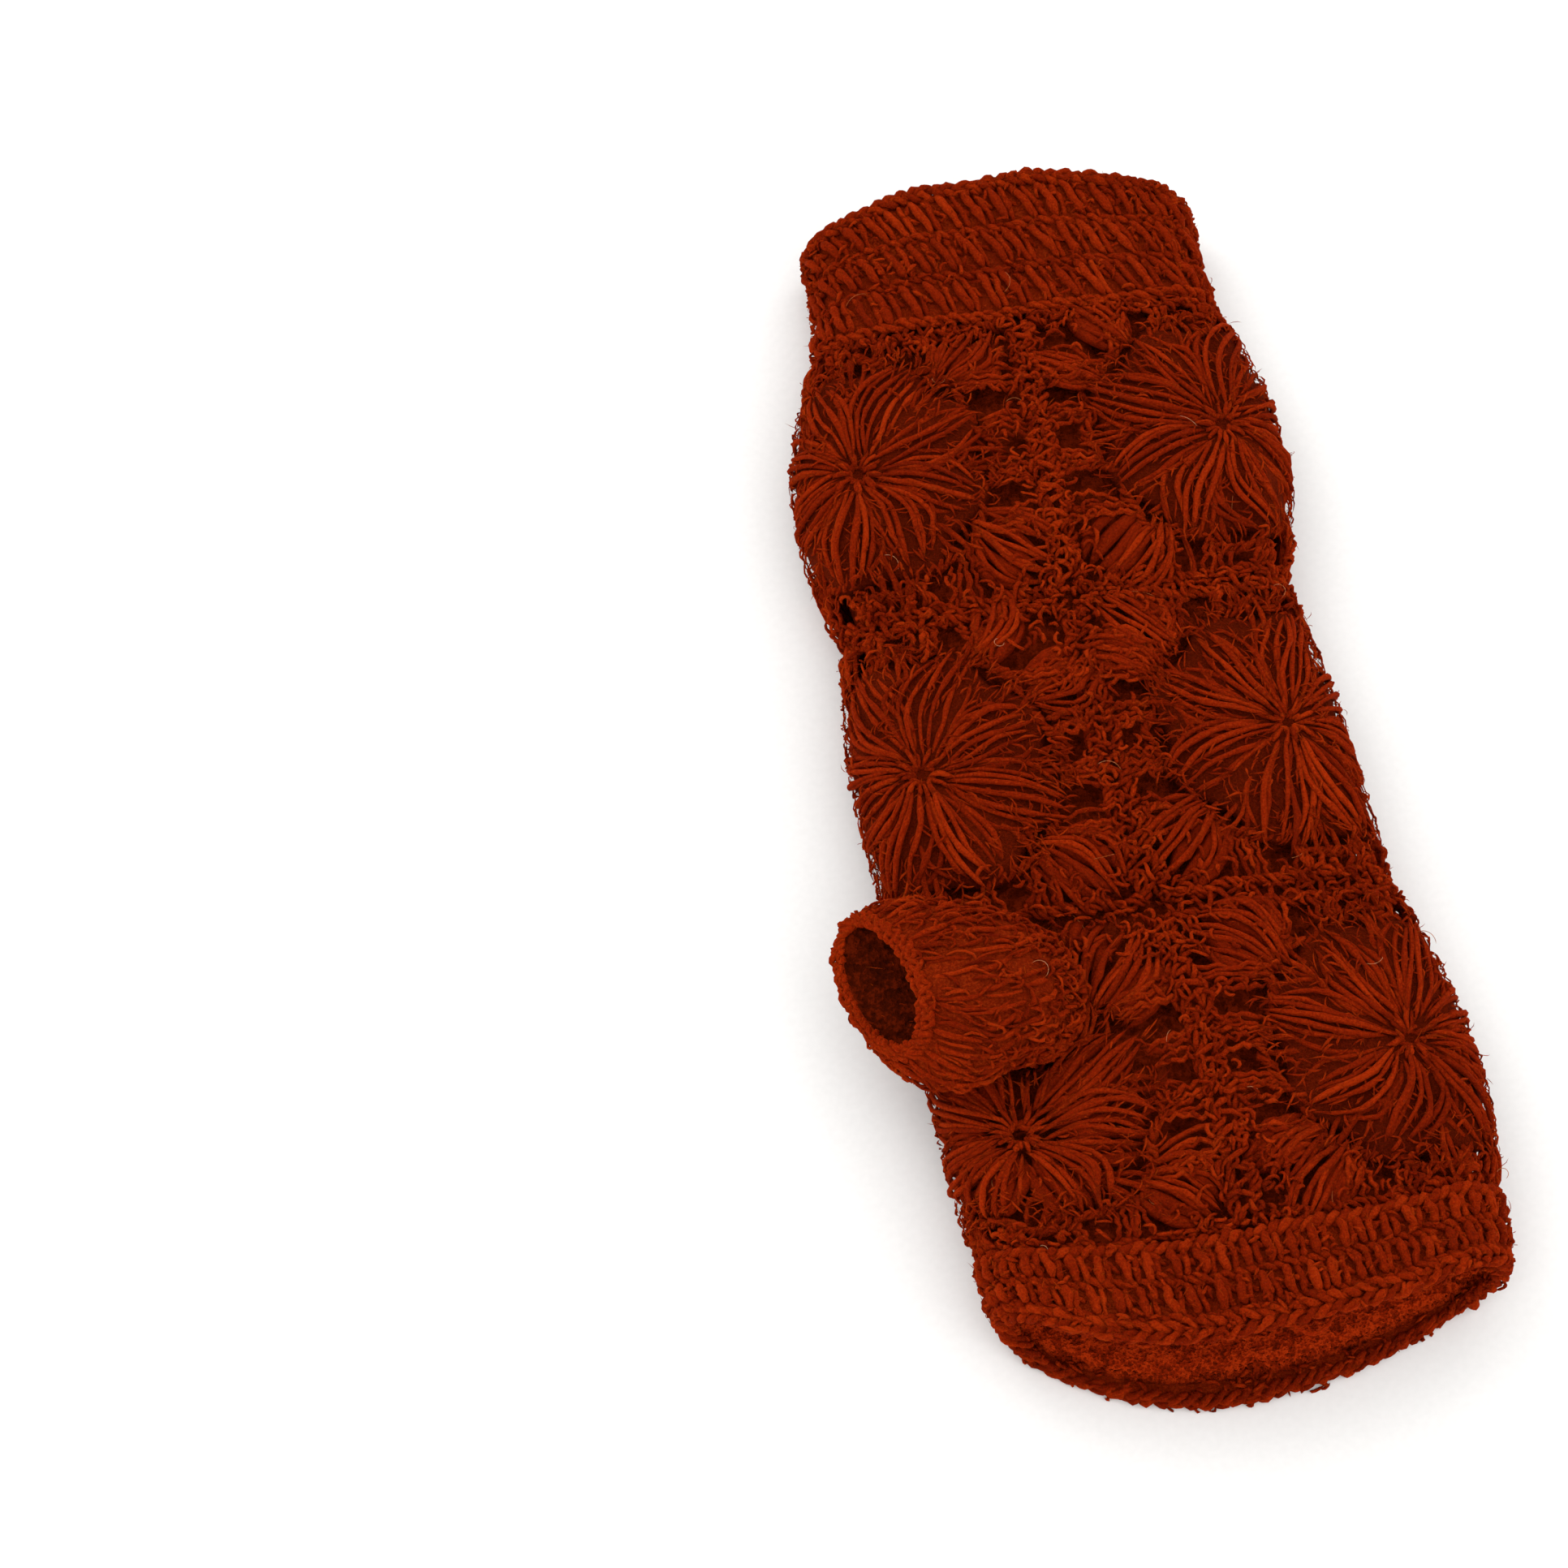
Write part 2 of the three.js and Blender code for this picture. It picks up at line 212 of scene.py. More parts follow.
@dataclass(frozen=True)
class GloveForm:
    """The lying form that all pieces follow, with the sizes of the solids, in millimetres."""

    band_depth: float = 21.0
    square_depth: float = 67.5
    cuff_depth: float = 35.0
    hand_width: float = 98.0
    wrist_width: float = 84.0
    lying_height: float = 22.0
    crown_height: float = 2.4
    floor_flat: float = 0.6
    origin: tuple[float, float] = (6.670, -128.15)
    thumb_from_fingers: float = 73.6
    thumb_from_middle: float = 30.8
    thumb_width: float = 37.0
    thumb_span: float = 25.8
    thumb_run: float = 27.4
    thumb_slant: float = 3.0
    thumb_rise: float = 5.8
    thumb_tilt: float = 47.0
    thumb_lean: float = 8.0
    thumb_skew: float = 3.5
    hole_across: float = 0.455
    hole_along: float = 0.37
    # share of the length: middle, width, whether the wrist's, height and crown, as shares
    sections: tuple[tuple[float, ...], ...] = (
        (0.0, 0.01, 0.98, 0, 1.12, 1.3), (0.08, 0.012, 1.01, 0, 1.06, 1.2), (0.17, 0.014, 1.03, 0, 1.0, 1.1),
        (0.26, 0.0, 1.02, 0, 1.0, 1.0), (0.37, -0.035, 0.99, 0, 1.0, 1.0), (0.5, -0.058, 0.975, 0, 0.98, 0.9),
        (0.6, -0.058, 0.955, 0, 0.98, 0.9), (0.69, -0.054, 1.01, 0, 1.0, 1.0),
        (0.77, -0.05, 1.0, 0, 0.98, 0.8), (0.9, -0.032, 1.0, 1, 0.92, 0.5), (1.0, -0.028, 1.0, 1, 0.9, 0.4),
    )
    # across, at, depth and spread of the palm's dents, as shares
    dents: tuple[tuple[float, ...], ...] = (
        (0.05, 0.36, 0.85, 0.17), (-0.1, 0.6, 0.6, 0.15), (0.5, 0.62, 0.5, 0.13), (0.0, 0.86, 0.5, 0.2),
        (0.5, 0.14, 0.6, 0.14),
    )
    # lip, thumb corner and its sharpness, far corner and its sharpness, and fade of the two ends
    finger_end: tuple[float, ...] = (3.4, 15.0, 4.0, 10.0, 2.0, 62.0)
    wrist_end: tuple[float, ...] = (1.2, 9.0, 4.0, 11.0, 4.0, 50.0)
    # run, rise, tilt, span, wide, lean, skew and lift of the thumb sleeve's rings, as shares
    sleeve_rings: tuple[tuple[float, ...], ...] = (
        (0.0, -0.8, 0.0, 0.87, 0.71, 0.0, 0.0, 0.0), (0.0, 0.3, 0.05, 0.91, 0.74, 0.0, 0.0, 0.0),
        (0.15, 0.74, 0.29, 0.99, 0.82, 0.08, 0.2, 0.3), (0.35, 0.94, 0.5, 1.04, 0.92, 0.16, 0.5, 0.25),
        (0.68, 0.87, 0.76, 1.03, 1.05, 0.21, 0.8, 0.35), (1.0, 0.5, 1.0, 0.84, 0.81, 0.71, 1.0, 0.4),
    )

    @property
    def length(self) -> float:
        """The glove's length before its ends curve."""
        return self.band_depth + 3 * self.square_depth + self.cuff_depth

    def __post_init__(self) -> None:
        """Makes the smooth tables from the shares."""
        rows = [
            (middle * self.hand_width, width * (self.wrist_width if wrist else self.hand_width),
             height * self.lying_height, crown * self.crown_height)
            for _, middle, width, wrist, height, crown in self.sections
        ]
        at = [row[0] * self.length for row in self.sections]
        object.__setattr__(self, "section_table", SmoothTable(at, rows))
        steps = np.linspace(0, 1, len(self.sleeve_rings))
        object.__setattr__(self, "sleeve_table", SmoothTable(steps, self.sleeve_rings))

    def round_length(self, along: float) -> float:
        """Gives the way once round the glove's outside.

        Args:
            along: distance from the finger end.

        Returns:
            Millimetres.
        """
        _, width, height, _ = self.section_table.read(np.array(along))
        return float(2 * (width - height) + np.pi * height)

    def drawn_in(self, end: Sequence[float], turn: Points, distance: Points) -> Points:
        """Says how far an end's curve moves points inwards.

        Args:
            end: lip, thumb corner and its sharpness, far corner and its sharpness, and fade.
            turn: share of the way round, 0 at the palm's middle.
            distance: how far each point is from that end.

        Returns:
            Millimetres towards the glove's middle.
        """
        lip, thumb, thumb_edge, far, far_edge, fade = end
        felt = np.clip(1 - distance / fade, 0, 1) ** 2
        aside = np.sin(FULL_TURN * turn)
        corner = np.where(aside > 0, far * np.abs(aside) ** far_edge, thumb * np.abs(aside) ** thumb_edge)
        return felt * (corner + lip * np.cos(FULL_TURN * turn))

    def place(self, turn: Points, along: Points, depth: Points) -> Points:
        """Finds points on or under the glove's skin.

        Args:
            turn: share of the way round, 0 at the palm's middle.
            along: distance from the finger end.
            depth: how far below the outer skin.

        Returns:
            Points in metres, in the frame of the solids.
        """
        turn, along, depth = np.broadcast_arrays(*(np.asarray(x, float) for x in (turn, along, depth)))
        middle, width, height, crown = np.moveaxis(self.section_table.read(along), -1, 0)
        radius = height / 2
        flat = width / 2 - radius
        around = 4 * flat + FULL_TURN * radius
        wrapped = turn - np.round(turn)
        run = np.abs(wrapped) * around
        bend = np.clip((run - flat) / radius, 0, np.pi)
        past = np.maximum(0, run - flat - np.pi * radius)
        x = np.sign(wrapped) * (np.minimum(run, flat) + (radius - depth) * np.sin(bend) - past)
        pressed = self.floor_flat * (1 - np.cos(bend)) / 2
        z = np.maximum(0, radius + (radius - depth) * np.cos(bend) - pressed)
        lift = crown.copy()
        for across, at, deep, spread in self.dents:
            away = np.hypot(x - across * width / 2, along - at * self.length) / (spread * self.hand_width)
            lift -= deep * self.crown_height * np.exp(-away * away)
        share = np.clip(run / flat, 0, 1)
        z = z + np.where(run < flat, lift * (1 - share * share) ** 2, 0)
        y = along + self.drawn_in(self.finger_end, wrapped, along)
        y = y - self.drawn_in(self.wrist_end, wrapped, self.length - along)
        return np.stack([x + middle + self.origin[0], y + self.origin[1], z], axis=-1) * MM

    def sleeve_root(self) -> Points:
        """Gives the middle of the sleeve's root on the palm, in millimetres before the frame's shift."""
        middle, _, height, _ = self.section_table.read(np.array(self.thumb_from_fingers))
        return np.array([middle - self.thumb_from_middle, self.thumb_from_fingers, height])

    def sleeve_skin(self, share: Points, angle: Points, inset: Points | float = 0.0) -> Points:
        """Finds points on the thumb sleeve's rings.

        Args:
            share: 0 at its root and 1 at its mouth.
            angle: radians round it, 0 towards the glove's edge.
            inset: how much smaller the ring is than the outer one.

        Returns:
            Points in metres, in the frame of the solids.
        """
        run, rise, tilt, span, wide, lean, skew, lift = np.moveaxis(self.sleeve_table.read(share), -1, 0)
        tilted = np.radians(tilt * self.thumb_tilt)
        out = (span * self.thumb_span / 2 - inset) * np.cos(angle)
        held_back = self.thumb_slant * (1 - np.sin(angle)) / 2
        root = self.sleeve_root()
        x = root[0] - run * (self.thumb_run - held_back) - out * np.cos(tilted)
        y = root[1] + lean * self.thumb_lean + skew * self.thumb_skew * np.cos(angle)
        y = y + (wide * self.thumb_width / 2 - inset) * np.sin(angle)
        z = root[2] + rise * self.thumb_rise - out * np.sin(tilted) + lift * inset * (1 + np.cos(angle)) / 2
        return np.stack([x + self.origin[0], y + self.origin[1], z], axis=-1) * MM

    def in_thumb_hole(self, points: Points, margin: float = 0.0) -> Points:
        """Tells which points of the upper layer lie in the hole under the thumb sleeve.

        Args:
            points: points in metres.
            margin: how much wider than the sleeve's root the hole is taken, in millimetres.

        Returns:
            True for each point inside.
        """
        root = self.sleeve_root()
        half_across = self.hole_across * self.thumb_span + margin
        half_along = self.hole_along * self.thumb_width + margin
        across = (points[..., 0] / MM - self.origin[0] - root[0]) / half_across
        along = (points[..., 1] / MM - self.origin[1] - root[1]) / half_along
        return (across**2 + along**2 < 1) & (points[..., 2] > 0.5 * self.lying_height * MM)


# Finishes


class FinishSketch:
    """A material in the making: each step adds a node and gives the socket that the next one takes."""

    def __init__(self, name: str) -> None:
        """Starts an empty material of that name."""
        self.material = bpy.data.materials.new(name)
        self.material.use_nodes = True
        self.tree = self.material.node_tree
        self.tree.nodes.clear()
        self.place = self.node("ShaderNodeTexCoord").outputs["Object"]

    def node(self, kind: str, settings: Mapping[str | int, object] | None = None,
             links: Mapping[str | int, Socket] | None = None) -> bpy.types.Node:
        """Adds a node with its settings and what flows into it.

        Args:
            kind: the node's type.
            settings: properties or socket values by name.
            links: sockets of earlier nodes, by the input that each flows into.

        Returns:
            The node.
        """
        node = self.tree.nodes.new(kind)
        for name, value in (settings or {}).items():
            if isinstance(name, str) and hasattr(node, name):
                setattr(node, name, value)
            else:
                node.inputs[name].default_value = value
        for name, socket in (links or {}).items():
            self.tree.links.new(socket, node.inputs[name])
        return node

    def noise(self, scale: float, detail: float, roughness: float = 0.5,
              vector: Socket | None = None) -> Socket:
        """Adds a noise, on Object coordinates where no vector is given.

        Args:
            scale: how many of its grains go into one unit.
            detail: how many finer noises lie over it.
            roughness: how much those show.
            vector: where it is read.

        Returns:
            Its strength.
        """
        settings = {"Scale": scale, "Detail": detail, "Roughness": roughness}
        links = {"Vector": self.place if vector is None else vector}
        return self.node("ShaderNodeTexNoise", settings, links).outputs["Fac"]

    def added(self, share: float, part: Socket, base: Socket) -> Socket:
        """Adds a share of one strength to another."""
        settings = {"operation": "MULTIPLY_ADD", 1: share}
        return self.node("ShaderNodeMath", settings, {0: part, 2: base}).outputs[0]

    def ramp(self, stops: Sequence[tuple[float, str]], strength: Socket) -> Socket:
        """Turns a strength into a colour by stops of a strength and a hex colour."""
        node = self.node("ShaderNodeValToRGB", links={"Fac": strength})
        elements = node.color_ramp.elements
        while len(elements) < len(stops):
            elements.new(0.5)
        for element, (place, colour) in zip(elements, stops):
            element.position = place
            element.color = linear(colour)
        return node.outputs["Color"]

    def bump(self, strength: float, height_mm: float, height: Socket, below: Socket | None = None) -> Socket:
        """Raises the surface by a noise.

        Args:
            strength: how much of it shows.
            height_mm: how high it stands.
            height: the noise.
            below: the bumps that it stands on.

        Returns:
            The raised surface's direction.
        """
        links = {"Height": height} if below is None else {"Height": height, "Normal": below}
        settings = {"Strength": strength, "Distance": height_mm * MM}
        return self.node("ShaderNodeBump", settings, links).outputs["Normal"]

    def made(self, colour: Socket, normal: Socket | None, settings: Mapping[str | int, object]) -> Material:
        """Ends the material.

        Args:
            colour: its base colour.
            normal: its surface's direction, if it has bumps.
            settings: the other values of its shader.

        Returns:
            The material.
        """
        links = {"Base Color": colour} if normal is None else {"Base Color": colour, "Normal": normal}
        shader = self.node("ShaderNodeBsdfPrincipled", settings, links)
        self.node("ShaderNodeOutputMaterial", links={"Surface": shader.outputs["BSDF"]})
        return self.material


@dataclass(frozen=True)
class BulkyWool:
    """Bulky single wool yarn, loosely spun and hand crocheted.

    Its soft spin gives long slanted fibre streaks, a matt surface and a dull orange halo at grazing light.
    """

    name: str = "bulky_wool_yarn"
    deep: str = "#6a1602"
    body: str = "#8a2002"
    bright: str = "#aa3006"
    halo: str = "#c03608"
    sheen: float = 0.22
    glow: float = 0.3
    fibre_mm: float = 0.28
    fuzz_mm: float = 0.5
    fibre_run_mm: float = 2.6
    spin_deg: float = 24.0
    patch_mm: float = 14.0

    def make(self) -> Material:
        """Builds the material.

        Returns:
            The material, which reads each strand's own UV map and tone.
        """
        sketch = FinishSketch(self.name)
        # along the strand and round it, both in millimetres, turned by the spin
        strand = sketch.node("ShaderNodeUVMap", {"uv_map": "UVMap"})
        spun = sketch.node("ShaderNodeMapping", {
            "Rotation": (0, 0, math.radians(self.spin_deg)),
            "Scale": (1 / self.fibre_run_mm, 1 / self.fibre_mm, 1),
        }, {"Vector": strand.outputs["UV"]})
        streaks = sketch.noise(1.0, 3.0, 0.6, spun.outputs["Vector"])
        patches = sketch.noise(1 / (self.patch_mm * MM), 2.0)
        fuzz = sketch.noise(1 / (self.fuzz_mm * MM), 3.0, 0.7)
        tone = sketch.node("ShaderNodeAttribute", {"attribute_name": "tone"}).outputs["Fac"]
        grained = sketch.added(0.9, fuzz, sketch.added(0.24, patches, sketch.added(0.4, streaks, tone)))
        colour = sketch.ramp([(0.5, self.deep), (0.77, self.body), (1.0, self.bright)], grained)
        matted = sketch.bump(1.0, 0.9, fuzz, sketch.bump(0.8, 0.4, streaks))
        return sketch.made(colour, matted, {
            "Roughness": 0.95, "Specular IOR Level": 0.02, "Sheen Weight": self.sheen,
            "Sheen Roughness": 0.45, "Sheen Tint": linear(self.halo), "Subsurface Weight": self.glow,
            "Subsurface Radius": (1.4, 0.4, 0.15), "Subsurface Scale": MM,
        })


@dataclass(frozen=True)
class BrushedFleece:
    """Brushed polyester fleece in the wool's colour.

    The brushing gives a dense short pile with small curls: matt, cloudy and lighter where it is worn.
    """

    name: str = "brushed_fleece"
    deep: str = "#5c1401"
    body: str = "#8c2003"
    worn: str = "#ae3008"
    halo: str = "#c03608"
    sheen: float = 0.25
    pile_mm: float = 0.6
    curl_mm: float = 2.4

    def make(self) -> Material:
        """Builds the material, which reads Object coordinates."""
        sketch = FinishSketch(self.name)
        pile = sketch.noise(1 / (self.pile_mm * MM), 3.0)
        curls = sketch.noise(1 / (self.curl_mm * MM), 3.0)
        stops = [(0.66, self.deep), (0.9, self.body), (1.0, self.worn)]
        colour = sketch.ramp(stops, sketch.added(0.8, pile, curls))
        brushed = sketch.bump(1.0, 0.8, pile, sketch.bump(1.0, 1.8, curls))
        return sketch.made(colour, brushed, {
            "Roughness": 1.0, "Specular IOR Level": 0.02, "Sheen Weight": self.sheen, "Sheen Roughness": 0.5,
            "Sheen Tint": linear(self.halo),
        })


@dataclass(frozen=True)
class PaperBackdrop:
    """Matt white backdrop paper, whose fine tooth shows only as the faintest mottling."""

    name: str = "matt_backdrop_paper"
    light: str = "#f6f5f3"
    shade: str = "#f3f2f0"
    tooth_mm: float = 1.4

    def make(self) -> Material:
        """Builds the material, which reads Object coordinates."""
        sketch = FinishSketch(self.name)
        tooth = sketch.noise(1 / (self.tooth_mm * MM), 2.0)
        colour = sketch.ramp([(0.3, self.shade), (0.7, self.light)], tooth)
        return sketch.made(colour, None, {"Roughness": 0.9, "Specular IOR Level": 0.1})


# Yarn


@dataclass
class Yarn:
    """Strands of yarn that are gathered for one piece and made into one mesh of round tubes."""

    form: GloveForm
    sides: int = 6
    lumps: float = 0.15
    drift: float = 1.3
    thin_end: float = 0.8
    fewest: int = 4
    holed: bool = True
    chance: np.random.Generator = field(default_factory=lambda: np.random.default_rng(9))
    strands: list[Points] = field(default_factory=list)
    thickness: list[Points] = field(default_factory=list)
    tones: list[float] = field(default_factory=list)

    def lay(self, points: Points, radius: float | Points, tone: float = 0.0, blunt: bool = False) -> None:
        """Adds one strand.

        Args:
            points: its centreline in metres.
            radius: its radius in millimetres, one or one a point.
            tone: how much lighter than the others it is, from about -0.2 to 0.2.
            blunt: True where its ends are hidden, so that they aren't drawn out thin.
        """
        outside = ~self.form.in_thumb_hole(points)
        if self.holed and not outside.all():
            runs = np.split(np.arange(len(points)), np.flatnonzero(np.diff(outside.astype(int))) + 1)
            kept = max((r for r in runs if outside[r[0]]), key=len, default=())
            if len(kept) < self.fewest:
                return
            radius = radius[kept] if isinstance(radius, np.ndarray) else radius
            points = points[kept]
        radii = np.full(len(points), radius) if np.isscalar(radius) else np.array(radius, float)
        if not blunt:
            radii = radii * (1 + self.chance.normal(0, self.lumps, len(points)))
            drift = self.chance.normal(0, self.lumps * self.drift * MM, (len(points) // 3 + 2, 3))
            at, knots = np.linspace(0, len(drift) - 1, len(points)), range(len(drift))
            points = points + np.stack([np.interp(at, knots, drift[:, k]) for k in range(3)], axis=1)
            radii[1] *= self.thin_end
            radii[-2] *= self.thin_end
        radii[0] = radii[-1] = 0.0
        points = points.copy()
        points[:, 2] = np.maximum(points[:, 2], radii * MM)
        self.strands.append(points)
        self.thickness.append(radii)
        self.tones.append(tone)

    def build(self, name: str, material: Material) -> Piece:
        """Makes the strands into one mesh object.

        Args:
            name: the piece's name.
            material: its finish.

        Returns:
            The piece, with its UV map in millimetres along and round each strand.
        """
        curve = bpy.data.curves.new(name, "CURVE")
        curve.dimensions = "3D"
        curve.bevel_depth = MM
        curve.bevel_resolution = (self.sides - 4) // 2
        for points, radii in zip(self.strands, self.thickness):
            spline = curve.splines.new("POLY")
            spline.points.add(len(points) - 1)
            spline.points.foreach_set("co", np.column_stack([points, np.ones(len(points))]).ravel())
            spline.points.foreach_set("radius", radii)
        drawn = bpy.data.objects.new(name + "_line", curve)
        mesh = bpy.data.meshes.new_from_object(drawn)
        bpy.data.objects.remove(drawn)
        counts = np.array([len(points) for points in self.strands])
        lengths = np.array([np.linalg.norm(np.diff(p, axis=0), axis=1).sum() / MM for p in self.strands])
        rounds = np.array([FULL_TURN * r.max() for r in self.thickness])
        corners = (counts - 1) * self.sides * 4
        uv = np.zeros(len(mesh.loops) * 2)
        mesh.uv_layers[0].data.foreach_get("uv", uv)
        uv = uv.reshape(-1, 2)
        start = np.arange(len(counts)) * 7.3
        uv[:, 0] = uv[:, 0] * np.repeat(lengths, corners) + np.repeat(start, corners)
        uv[:, 1] *= np.repeat(rounds, corners)
        mesh.uv_layers[0].data.foreach_set("uv", uv.ravel())
        tone = mesh.attributes.new("tone", "FLOAT", "POINT")
        tone.data.foreach_set("value", np.repeat(np.array(self.tones, np.float32), counts * self.sides))
        return finished(mesh, name, material)


def finished(mesh: bpy.types.Mesh, name: str, *materials: Material) -> Piece:
    """Closes a mesh's poles, shades it smooth, gives it its finishes and links it to the scene.

    Args:
        mesh: the mesh, in place.
        name: the piece's name.
        materials: its finishes, in the order of its faces' numbers.

    Returns:
        The piece.
    """
    shape = bmesh.new()
    shape.from_mesh(mesh)
    bmesh.ops.remove_doubles(shape, verts=shape.verts, dist=1e-7)
    bmesh.ops.recalc_face_normals(shape, faces=shape.faces)
    shape.to_mesh(mesh)
    shape.free()
    mesh.name = name
    mesh.shade_smooth()
    for material in materials:
        mesh.materials.append(material)
    piece = bpy.data.objects.new(name, mesh)
    bpy.context.scene.collection.objects.link(piece)
    return piece


def wrapped_grid(across: int, along: int, at: Callable[[Points, Points], Points],
                 inner: tuple[float, float] = (2.0, 2.0)) -> bmesh.types.BMesh:
    """Bends a grid onto a form.

    Args:
        across: faces the first way.
        along: faces the second way.
        at: gives points in metres from the two shares.
        inner: the faces between these shares of the second way get the piece's second finish.

    Returns:
        The bent grid, with its meeting edges merged.
    """
    shape = bmesh.new()
    bmesh.ops.create_grid(shape, x_segments=across, y_segments=along, size=0.5)
    for face in shape.faces:
        face.material_index = int(inner[0] < face.calc_center_median().y + 0.5 < inner[1])
    shares = np.array([(v.co.x + 0.5, v.co.y + 0.5) for v in shape.verts])
    for vert, point in zip(shape.verts, at(shares[:, 0], shares[:, 1])):
        vert.co = Vector(point)
    bmesh.ops.remove_doubles(shape, verts=shape.verts, dist=1e-6)
    return shape


def shell(shape: bmesh.types.BMesh, name: str, *materials: Material) -> Piece:
    """Makes a bent grid into a finished piece.

    Args:
        shape: the grid, which is used up.
        name: the piece's name.
        materials: its finishes, in the order of its faces' numbers.

    Returns:
        The piece.
    """
    mesh = bpy.data.meshes.new(name)
    shape.to_mesh(mesh)
    shape.free()
    return finished(mesh, name, *materials)
# Sub-assemblies


@dataclass
class YarnPiece:
    """A piece of crochet: thick strands and finer ones, laid onto the glove with chance of its own."""

    form: GloveForm

    def begin(self, seed: int, holed: bool = True) -> None:
        """Seeds the piece's chance and starts its yarn.

        Args:
            seed: the seed.
            holed: True where strands stop at the thumb hole.
        """
        self.chance = np.random.default_rng(seed)
        self.yarn = Yarn(self.form, holed=holed)
        self.fine = Yarn(self.form, sides=4, holed=holed)

    def at(self, path: Points) -> Points:
        """Lays a path in the piece's own measures onto the glove."""
        raise NotImplementedError

    def lay(self, path: Points, radius: float | Points, spread: float = 0.07) -> None:
        """Adds a thick strand along a path of this piece, in a tone of its own."""
        self.yarn.lay(self.at(path), radius, float(self.chance.normal(0, spread)))


@dataclass(frozen=True)
class Puff:
    """The measures of one kind of puff, in millimetres from the square's middle.

    Its foot and reach are where it starts and ends, half is half its width, depth is how deep its middle
    loop lies, and swell is how much deeper its outer loops and its ends lie. Inner gives the foot, reach,
    half width and depth of the loops that fill it.
    """

    foot: float
    reach: float
    half: float
    strands: int
    depth: float
    swell: float
    inner: tuple[float, ...] = ()


@dataclass
class FlowerSquare(YarnPiece):
    """One flower square: an eye, eight puff petals, corner puffs and an open mesh to its chained border."""

    row: Row
    column: Column
    strand: float = 0.54
    inner_strand: float = 1.4
    ring_strand: float = 0.52
    petals: int = 8
    petal: Puff = Puff(3.0, 26.4, 6.6, 8, 0.0, 1.3, (5.0, 24.9, 6.6, 2.75))
    between: Puff = Puff(15.5, 30.5, 3.6, 4, 1.7, 1.0)
    corner: Puff = Puff(25.0, 45.0, 8.4, 10, 0.3, 1.4, (26.5, 43.0, 7.4, 2.8))
    corner_twin: Puff = Puff(25.5, 43.5, 5.2, 7, 0.3, 1.3, (26.5, 42.0, 4.4, 2.8))
    twin_lean: float = 0.19
    plump: float = 1.5
    eye_reach: float = 2.1
    flower_reach: float = 26.6
    posts_from: float = 27.0
    post_places: tuple[float, ...] = (-16.5, -5.6, 5.6, 16.5)
    post_strands: tuple[float, ...] = (-2.9, -1.4, 0.0, 1.4, 2.9)
    mesh_strand: float = 0.5
    seam_strand: float = 0.56
    lace_pitch: float = 5.4
    thumb_square_shift: float = -8.0
    curls: int = 330
    hairs: int = 600
    back_share: int = 3
    mat_depth: float = 1.45
    first_seed: int = 31

    def __post_init__(self) -> None:
        """Finds the square's place on the glove and seeds its chance."""
        self.centre_turn = (self.column.value + 0.5) / 3
        self.centre_along = self.form.band_depth + (self.row.value + 0.5) * self.form.square_depth
        self.half_across = self.form.round_length(self.centre_along) / 6
        self.half_along = self.form.square_depth / 2
        knuckle_thumb = self.column is Column.THUMB_SIDE and self.row is Row.KNUCKLE
        self.shift = self.thumb_square_shift if knuckle_thumb else 0.0
        self.begin(self.first_seed + 10 * self.row.value + self.column.value)

    @property
    def node(self) -> str:
        """The name of the solid that this square stands for."""
        return f"square_{self.column.name.lower()}_{self.row.name.lower()}"

    def at(self, path: Points) -> Points:
        """Lays a path of across, along and depth, from the square's middle, onto the glove."""
        across, along, depth = path.T
        nearness = 1 - np.maximum(np.abs(across) / self.half_across, np.abs(along) / self.half_along)
        pillow = self.plump * (1 - 1.5 * (along / self.half_along) ** 4)
        if self.column is Column.BACK:
            pillow = 0.0
        place = self.centre_along + along + self.shift * np.clip(nearness, 0, 1)
        return self.form.place(self.centre_turn + across / self.half_across / 6, place, depth - pillow)

    def puff(self, kind: Puff, angle: float) -> None:
        """Lays one puff: long loops side by side, tied at both ends.

        Args:
            kind: its measures.
            angle: its direction from the square's middle, in radians.
        """
        t = np.linspace(0, 1, 10)
        bow = self.chance.normal(0, 2.1)
        reach = kind.reach + self.chance.normal(0, 1.5)
        ahead, aside = directions(angle + self.chance.normal(0, 0.08))
        full = arch(np.clip(0.03 + 0.83 * t**1.15, 0, 1)) ** 0.65
        for k in range(kind.strands):
            share = 2 * k / (kind.strands - 1) - 1 + self.chance.normal(0, 0.07)
            side = share * kind.half * full + bow * arch(t) + wobble(self.chance, len(t), 0.44)
            start = kind.foot + abs(share) * 0.7 + self.chance.normal(0, 0.5)
            end = reach - share * share * 2.6 + self.chance.normal(0, 0.9)
            out = start + (end - start) * t
            rise = kind.swell * (0.75 * share * share + 0.9 * (1 - arch(t) ** 0.55))
            level = kind.depth + self.strand + rise + wobble(self.chance, len(t), 0.26)
            radius = self.strand * (0.86 + 0.2 * arch(t)) * (1 + self.chance.normal(0, 0.09))
            self.lay(np.column_stack([ahead * out[:, None] + aside * side[:, None], level]), radius)

    def padding(self, kind: Puff, angle: float) -> None:
        """Lays a puff's inner loops, which fill it under the ones that show."""
        foot, reach, half, depth = kind.inner
        t = np.linspace(0, 1, 6)
        ahead, aside = directions(angle)
        for share in (-0.66, -0.22, 0.22, 0.66):
            side = share * half * arch(0.1 + 0.8 * t) ** 0.6
            out = foot + (reach - foot) * t
            path = np.column_stack([ahead * out[:, None] + aside * side[:, None], np.full(len(t), depth)])
            # tone -0.1: the filling loops painted darker as the shade under the loops that show
            self.yarn.lay(self.at(path), self.inner_strand, -0.1)

